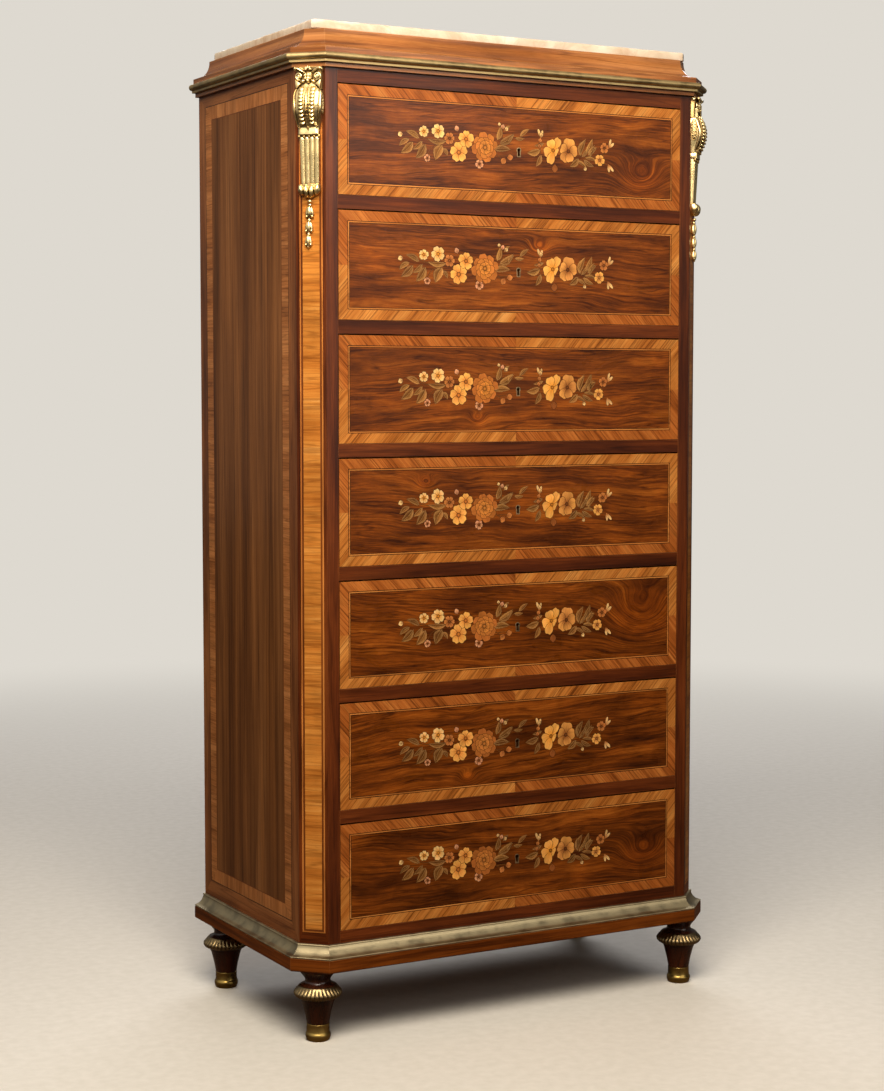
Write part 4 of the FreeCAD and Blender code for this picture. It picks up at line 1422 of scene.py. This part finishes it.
def mount_shaft(cast):
    cast.block(band_sections, 1.0, boxy=8.0)
    sections = []
    for u in steps(shaft_steps):
        sections.append((between(shaft_span, u), between(shaft_halves, u), between(shaft_depths, u)))
    cast.block(sections, 0.75, boxy=7.0)
    for place in reed_places:
        path = []
        widths = []
        heights = []
        for u in steps(reed_steps):
            t = between((reed_start, shaft_span[1]), u)
            share = (t - shaft_span[0]) / (shaft_span[1] - shaft_span[0])
            half = between(shaft_halves, share)
            tip = math.sqrt(1 - (1 - min(1.0, u / 0.06)) ** 2)
            path.append((place * half, t, between(shaft_depths, share) + reed_seat))
            widths.append(reed_half * half / shaft_halves[0] * tip)
            heights.append(reed_height * tip)
        cast.relief(path, widths, heights, round_form, 1.0, reed_sink)
    # These beads have no burnish, so they come out dark: painted shade of the pits at the tops of the
    # grooves.
    for k in range(bead_count):
        cast.ball(((k - bead_count // 2) * bead_spacing, *bead_place), bead_radii, 0.0)
    cast.block(base_sections, 0.1)
    roll = []
    for u in steps(roll_steps):
        a = math.pi * (1 - u)
        c = math.cos(a)
        s = math.copysign(abs(c) ** 0.4, c) * roll_half
        roll.append((s, roll_t, roll_depth * math.sin(a) ** 0.4 + roll_seat))
    cast.tube(roll, [roll_radius] * len(roll), 0.8)


def husk_drop(cast, lean):
    """A bud and three bellflowers, each of a calyx, three petals and drops at their tips."""
    def shift(t):
        return lean * (t - drop_span[0]) / (drop_span[1] - drop_span[0])

    cast.ball((shift(husk_bud[0]), *husk_bud), husk_bud_radii, 0.9)
    for top, length, half in husks:
        middle = shift(top + husk_middle)
        calyx = (shift(top), top + calyx_place[0], calyx_place[1])
        cast.ball(calyx, (half * 0.46, calyx_radius, calyx_radius), 0.8)
        for side in (-1, 1):
            place = (middle + side * half * 0.5, top + length * 0.52, petal_seat)
            radii = (half * 0.44, length * 0.36, petal_depth)
            cast.ball(place, radii, 0.7, -side * petal_lean_deg, petal_rows)
            tip = (shift(top + tip_run) + side * half * 0.62, top + length * 0.8, tip_seat)
            cast.ball(tip, tip_radii, 0.9)
        front = (middle, top + length * 0.54, front_seat)
        cast.ball(front, (half * 0.46, length * 0.4, front_depth), 1.0, rows=petal_rows)
        cast.ball((shift(top + length), top + length * 0.93, tip_seat), drop_radii, 0.9)


for name, sign in SIDES:
    seat = (sign * cant_x, cant_y, body_top)
    cast = Cast(seat, (1, sign, 0))
    for build in (mount_head, mount_console, mount_shaft, mount_ornament):
        build(cast)
    cast.done(f"{name}_console_mount", "gilt_bronze", gilt, f"{name}_corner_mount")
    cast = Cast(seat, (1, sign, 0))
    husk_drop(cast, sign * drop_lean)
    cast.done(f"{name}_husk_drop", "gilt_bronze", gilt, f"{name}_mount_drop")


# Feet: profiles of (radius, height), the collar's with the depth of its gadroons

foot_profile = ((0.0, 103.5), (27.0, 103.5), (27.0, 101.5), (26.5, 100.4), (25.6, 99.4), (24.2, 97.4),
                (22.5, 95.4), (20.7, 93.0), (19.2, 91.0), (18.5, 89.4), (18.2, 88.0), (18.2, 86.8),
                (18.5, 85.4), (19.8, 83.4), (21.6, 82.2), (23.6, 81.3), (25.5, 80.2), (25.5, 62.0),
                (25.0, 60.6), (23.8, 57.6), (22.6, 54.8), (20.6, 47.0), (18.4, 38.2), (16.4, 27.4),
                (15.9, 24.4), (15.4, 23.4), (0.0, 23.4))
collar_profile = ((25.3, 80.3, 0.0), (26.4, 80.2, 0.0), (27.4, 79.4, 0.1), (28.6, 78.0, 0.4),
                  (30.0, 76.4, 0.8), (31.6, 74.6, 1.2), (33.0, 73.0, 1.5), (34.2, 71.4, 1.7),
                  (34.7, 69.9, 1.8), (34.7, 68.4, 1.7), (34.1, 66.9, 1.5), (33.0, 65.4, 1.2),
                  (31.4, 64.0, 0.8), (29.6, 62.9, 0.4), (28.0, 62.2, 0.1), (25.3, 62.0, 0.0))
sabot_profile = ((0.0, 0.0), (15.8, 0.0), (16.5, 1.0), (17.3, 3.0), (18.0, 5.6), (18.2, 8.2), (17.9, 10.0),
                 (17.2, 11.0), (16.7, 11.8), (16.4, 13.0), (16.3, 18.0), (16.2, 22.2), (16.5, 23.2),
                 (16.4, 24.2), (15.8, 24.6), (15.5, 23.6), (0.0, 23.6))
turned_smooth_deg = 38
gadroons = 32
turning_sides = 72
gadroon_sides = 256
least_radius = 0.02


def at_feet(name, profile, stuff, replaced):
    """Turns a profile about the axis of each foot. A gadrooned one is a closed ring."""
    gadrooned = len(profile[0]) > 2
    points = []
    faces = []
    for x, y in foot_places:
        rings = []
        for radius, height, *depth in profile:
            ring = []
            for a in circle(gadroon_sides if gadrooned else turning_sides):
                reach = max(radius, least_radius)
                if gadrooned:
                    reach -= depth[0] * (1 - abs(math.sin(a * gadroons / 2)) ** 0.7)
                ring.append(((x + reach * math.cos(a)) * MM, (y + reach * math.sin(a)) * MM, height * MM))
            rings.append(ring)
        skinned(points, faces, rings, gadrooned)
    closed_form(name, points, faces, stuff, turned_smooth_deg, replaced)


at_feet("turned_feet", foot_profile, turned_wood, "feet")
at_feet("gadrooned_collars", collar_profile, foot_brass, "foot_collars")
at_feet("brass_sabots", sabot_profile, sabot_brass, "foot_sabots")


# Brass cove round the base: a hollow between two rounded fillets, as (projection, height) pairs

leg_growth_share = 2 - math.sqrt(2)
cove_foot = ((0.0, 122.0), (16.9, 122.0), (16.9, 122.6), (17.6, 122.9), (18.0, 123.4), (18.0, 124.2),
             (17.6, 124.7), (16.7, 124.9))
cove_hollow = ((16.4, 125.0), (11.6, 126.7), (7.6, 130.0), (4.7, 134.4), (3.3, 138.2))
cove_head = ((3.8, 138.5), (4.2, 139.1), (4.1, 139.9), (3.5, 140.6), (2.4, 141.0), (0.0, 141.0))
cove_steps = 18

corners = []
for offset, z in (*cove_foot, *through(cove_hollow, cove_steps), *cove_head):
    half = half_body + offset
    leg = cant_leg + offset * leg_growth_share
    front = front_y - offset
    left = [(-half, back_y), (-half, front + leg), (-half + leg, front)]
    corners.append([(x * MM, y * MM, z * MM) for x, y in left + [(-x, y) for x, y in reversed(left)]])
points = []
faces = []
mitres = list(zip(*corners))
for ends in zip(mitres, mitres[1:]):
    skinned(points, faces, ends)
closed_form("filleted_cove", points, faces, cove_brass, turned_smooth_deg, "base_brass_cove")


# Marble slab: worn arrises with small chips

slab_low, slab_high = (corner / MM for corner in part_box("marble_top"))
slab_smooth_deg = 35
slab_cant = 6.0
slab_step = 4.0
slab_profile = ((1.4, 0.0), (0.3, 0.9), (0.0, 2.2), (0.0, 9.8), (0.3, 11.4), (1.0, 12.4), (2.2, 12.9),
                (3.4, 13.0))
worn_from = 10.0
chip_chance = 0.06
chip_reach = 0.9
chip_shares = ((-1, 0.4), (0, 1.0), (1, 0.5))
corner_steps = 4
slab_plan = [Vector((slab_low.x, slab_high.y)), Vector((slab_low.x, slab_low.y + slab_cant)),
             Vector((slab_low.x + slab_cant, slab_low.y)), Vector((slab_high.x - slab_cant, slab_low.y)),
             Vector((slab_high.x, slab_low.y + slab_cant)), Vector((slab_high.x, slab_high.y))]


def lines_of(plan):
    return list(zip(plan, plan[1:] + plan[:1]))


def inward(begin, end):
    return (end - begin).normalized().orthogonal()


def shrunk(plan, inset):
    """The corners of a plan, each side of it moved in by the same distance."""
    made = []
    for i, (corner, following) in enumerate(lines_of(plan)):
        before = inward(plan[i - 1], corner)
        after = inward(corner, following)
        made.append(corner + (before + after) * inset / (1 + before.dot(after)))
    return made


def slab_rings(draw):
    """Rings of the slab from its foot up; wear and chips eat into its upper arris between the corners."""
    wear = []
    for i, (begin, end) in enumerate(lines_of(slab_plan)):
        count = max(1, round((end - begin).length / slab_step))
        depths = [0.5 + 0.3 * math.sin(k * 0.37 + i) + 0.2 * math.sin(k * 0.91 + 1) for k in range(count)]
        for k in range(1, count - 1):
            if draw.random() < chip_chance:
                depth = draw.uniform(0.4, 1.0) * chip_reach
                for step, share in chip_shares:
                    depths[k + step] += depth * share
        wear.append([depth * min(1.0, min(k, count - k) / corner_steps) for k, depth in enumerate(depths)])
    rings = []
    for inset, rise in slab_profile:
        ring = []
        for (begin, end), depths in zip(lines_of(shrunk(slab_plan, inset)), wear):
            for k, depth in enumerate(depths):
                pull = depth * inset if rise > worn_from else 0.0
                ring.append(begin + (end - begin) * k / len(depths) + inward(begin, end) * pull)
        rings.append([(spot.x * MM, spot.y * MM, (slab_low.z + rise) * MM) for spot in ring])
    return rings


points = []
faces = []
skinned(points, faces, slab_rings(random.Random(17)))
closed_form("marble_slab", points, faces, marble, slab_smooth_deg, "marble_top")


# Looks of the solids that stay

looks = {
    rail_wood: ("top_rail", "drawer_rails", "bottom_rail"),
    post_wood: ("left_corner_post", "right_corner_post"),
    panel_core: ("left_side_panel", "right_side_panel"),
    moulding_wood: ("plinth_moulding",),
    cornice_wood: ("cornice_moulding",),
    pine_upright: ("back_boards",),
    pine_level: ("base_board", "top_board"),
    pine_deep: ("drawer_runners", "drawer_guides", "drawer_stops"),
    bead_brass: ("cornice_brass_bead",),
}
drawer_looks = {
    "front": front_core,
    "box": oak_bare,
    "bottom": oak_bottom,
    "lock": lock_brass,
    "bolt": lock_steel,
}
for part, stuff in drawer_looks.items():
    looks[stuff] = [f"drawer_{number}_{part}" for number in drawer_numbers]
for stuff, names in looks.items():
    for name in names:
        nodes[name].data.materials.clear()
        nodes[name].data.materials.append(stuff)


# Floor, light and camera, in metres. Glare lobes are a side of the room that shines in polished faces, the
# cosines where it begins and is full, and its strength at both.

backdrop = rgb(222, 217, 208)
floor_bounce = rgb(104, 88, 74)
floor_tones = palette((216, 211, 201), (224, 219, 210))
floor_radius = 12.0
floor_sides = 96
floor_fade = (1.6, 4.2)
fill_colour = rgb(236, 232, 226)
fill_strength = 0.12
glare_lobes = (
    ((-0.93, -0.34, 0.15), 0.45, 0.95, 0.14, 0.95),
    ((-0.45, 0.89, 0.0), 0.6, 0.97, 0.0, 0.2),
    ((-0.25, -0.05, 0.967), 0.35, 0.97, 0.0, 0.8),
    ((0.26, -0.92, 0.29), 0.88, 0.98, 0.0, 2.2),
)
lamps = (
    ("key_light", (-0.86, -1.36, 2.25), (-0.16, -0.1, 1.3), (1.4, 1.4), 82.0, rgb(255, 244, 228)),
    ("front_light", (1.0, -2.95, 1.9), (0.0, -0.1, 1.1), (1.0, 0.8), 7.0, rgb(255, 246, 236)),
    ("back_light", (1.4, 2.6, 2.6), (0.0, 0.1, 0.9), (2.2, 1.4), 60.0, rgb(250, 250, 255)),
)
camera_place = (-1.5958, -2.8488, 0.9211)
camera_dip_deg = 4.132
camera_turn_deg = -28.887
camera_lens = 70.2
camera_sensor = 36.0


def camera_share(graph, path):
    """One for rays from the camera, straight or through glass, and zero for the rest."""
    return graph.math("MAXIMUM", path["Is Camera Ray"], path["Is Transmission Ray"])


floor_mesh = bpy.data.meshes.new("studio_floor")
floor_rim = [(math.cos(a) * floor_radius, math.sin(a) * floor_radius, 0) for a in circle(floor_sides)]
floor_mesh.from_pydata(floor_rim, [], [range(floor_sides)])
floor = bpy.data.objects.new("studio_floor", floor_mesh)
scene.collection.objects.link(floor)
floor_look, g = material("studio_floor")
place = g.place()
seen = camera_share(g, g.add("LightPath").outputs)
tone = g.ramp(g.noise(place, (60.0,), 4.0), list(zip((0.3, 0.7), floor_tones)))
glow = g.add("Emission", {"Color": backdrop, "Strength": 1.0})
matt = g.add("BsdfDiffuse", {"Color": g.blend(seen, floor_bounce, tone)})
far = g.times(seen, g.span(g.length(place), *floor_fade, 0.0, 1.0))
joined = g.add("MixShader", {0: far, 1: matt.outputs[0], 2: glow.outputs[0]})
g.add("OutputMaterial", {0: joined.outputs[0]})
floor_mesh.materials.append(floor_look)

world = bpy.data.worlds.new("studio")
scene.world = world
world.use_nodes = True
g = Graph(world.node_tree)
path = g.add("LightPath").outputs
seen = camera_share(g, path)
ahead = g.add("TexCoord").outputs["Generated"]
lobes = [g.span(g.dot(ahead, side), *spread) for side, *spread in glare_lobes]
glare = lobes[0]
for lobe in lobes[1:]:
    glare = g.plus(glare, lobe)
pale = g.add("Background", {"Color": backdrop, "Strength": 1.0})
fill = g.add("Background", {"Color": fill_colour, "Strength": fill_strength})
shine = g.add("Background", {"Color": backdrop, "Strength": glare})
soft = g.add("MixShader", {0: path["Is Glossy Ray"], 1: fill.outputs[0], 2: shine.outputs[0]})
joined = g.add("MixShader", {0: seen, 1: soft.outputs[0], 2: pale.outputs[0]})
g.add("OutputWorld", {0: joined.outputs[0]})

for name, place, target, size, power, colour in lamps:
    light = bpy.data.lights.new(name, "AREA")
    light.shape = "RECTANGLE"
    light.size, light.size_y = size
    light.energy = power
    light.color = colour[:3]
    lamp = bpy.data.objects.new(name, light)
    lamp.location = place
    lamp.rotation_mode = "QUATERNION"
    lamp.rotation_quaternion = (Vector(target) - Vector(place)).to_track_quat("-Z", "Y")
    scene.collection.objects.link(lamp)

camera_data = bpy.data.cameras.new("camera")
camera_data.lens = camera_lens
camera_data.sensor_width = camera_sensor
camera = bpy.data.objects.new("camera", camera_data)
camera.location = camera_place
camera.rotation_euler = (math.radians(90 - camera_dip_deg), 0, math.radians(camera_turn_deg))
scene.collection.objects.link(camera)
scene.camera = camera
scene.view_settings.view_transform = "Standard"
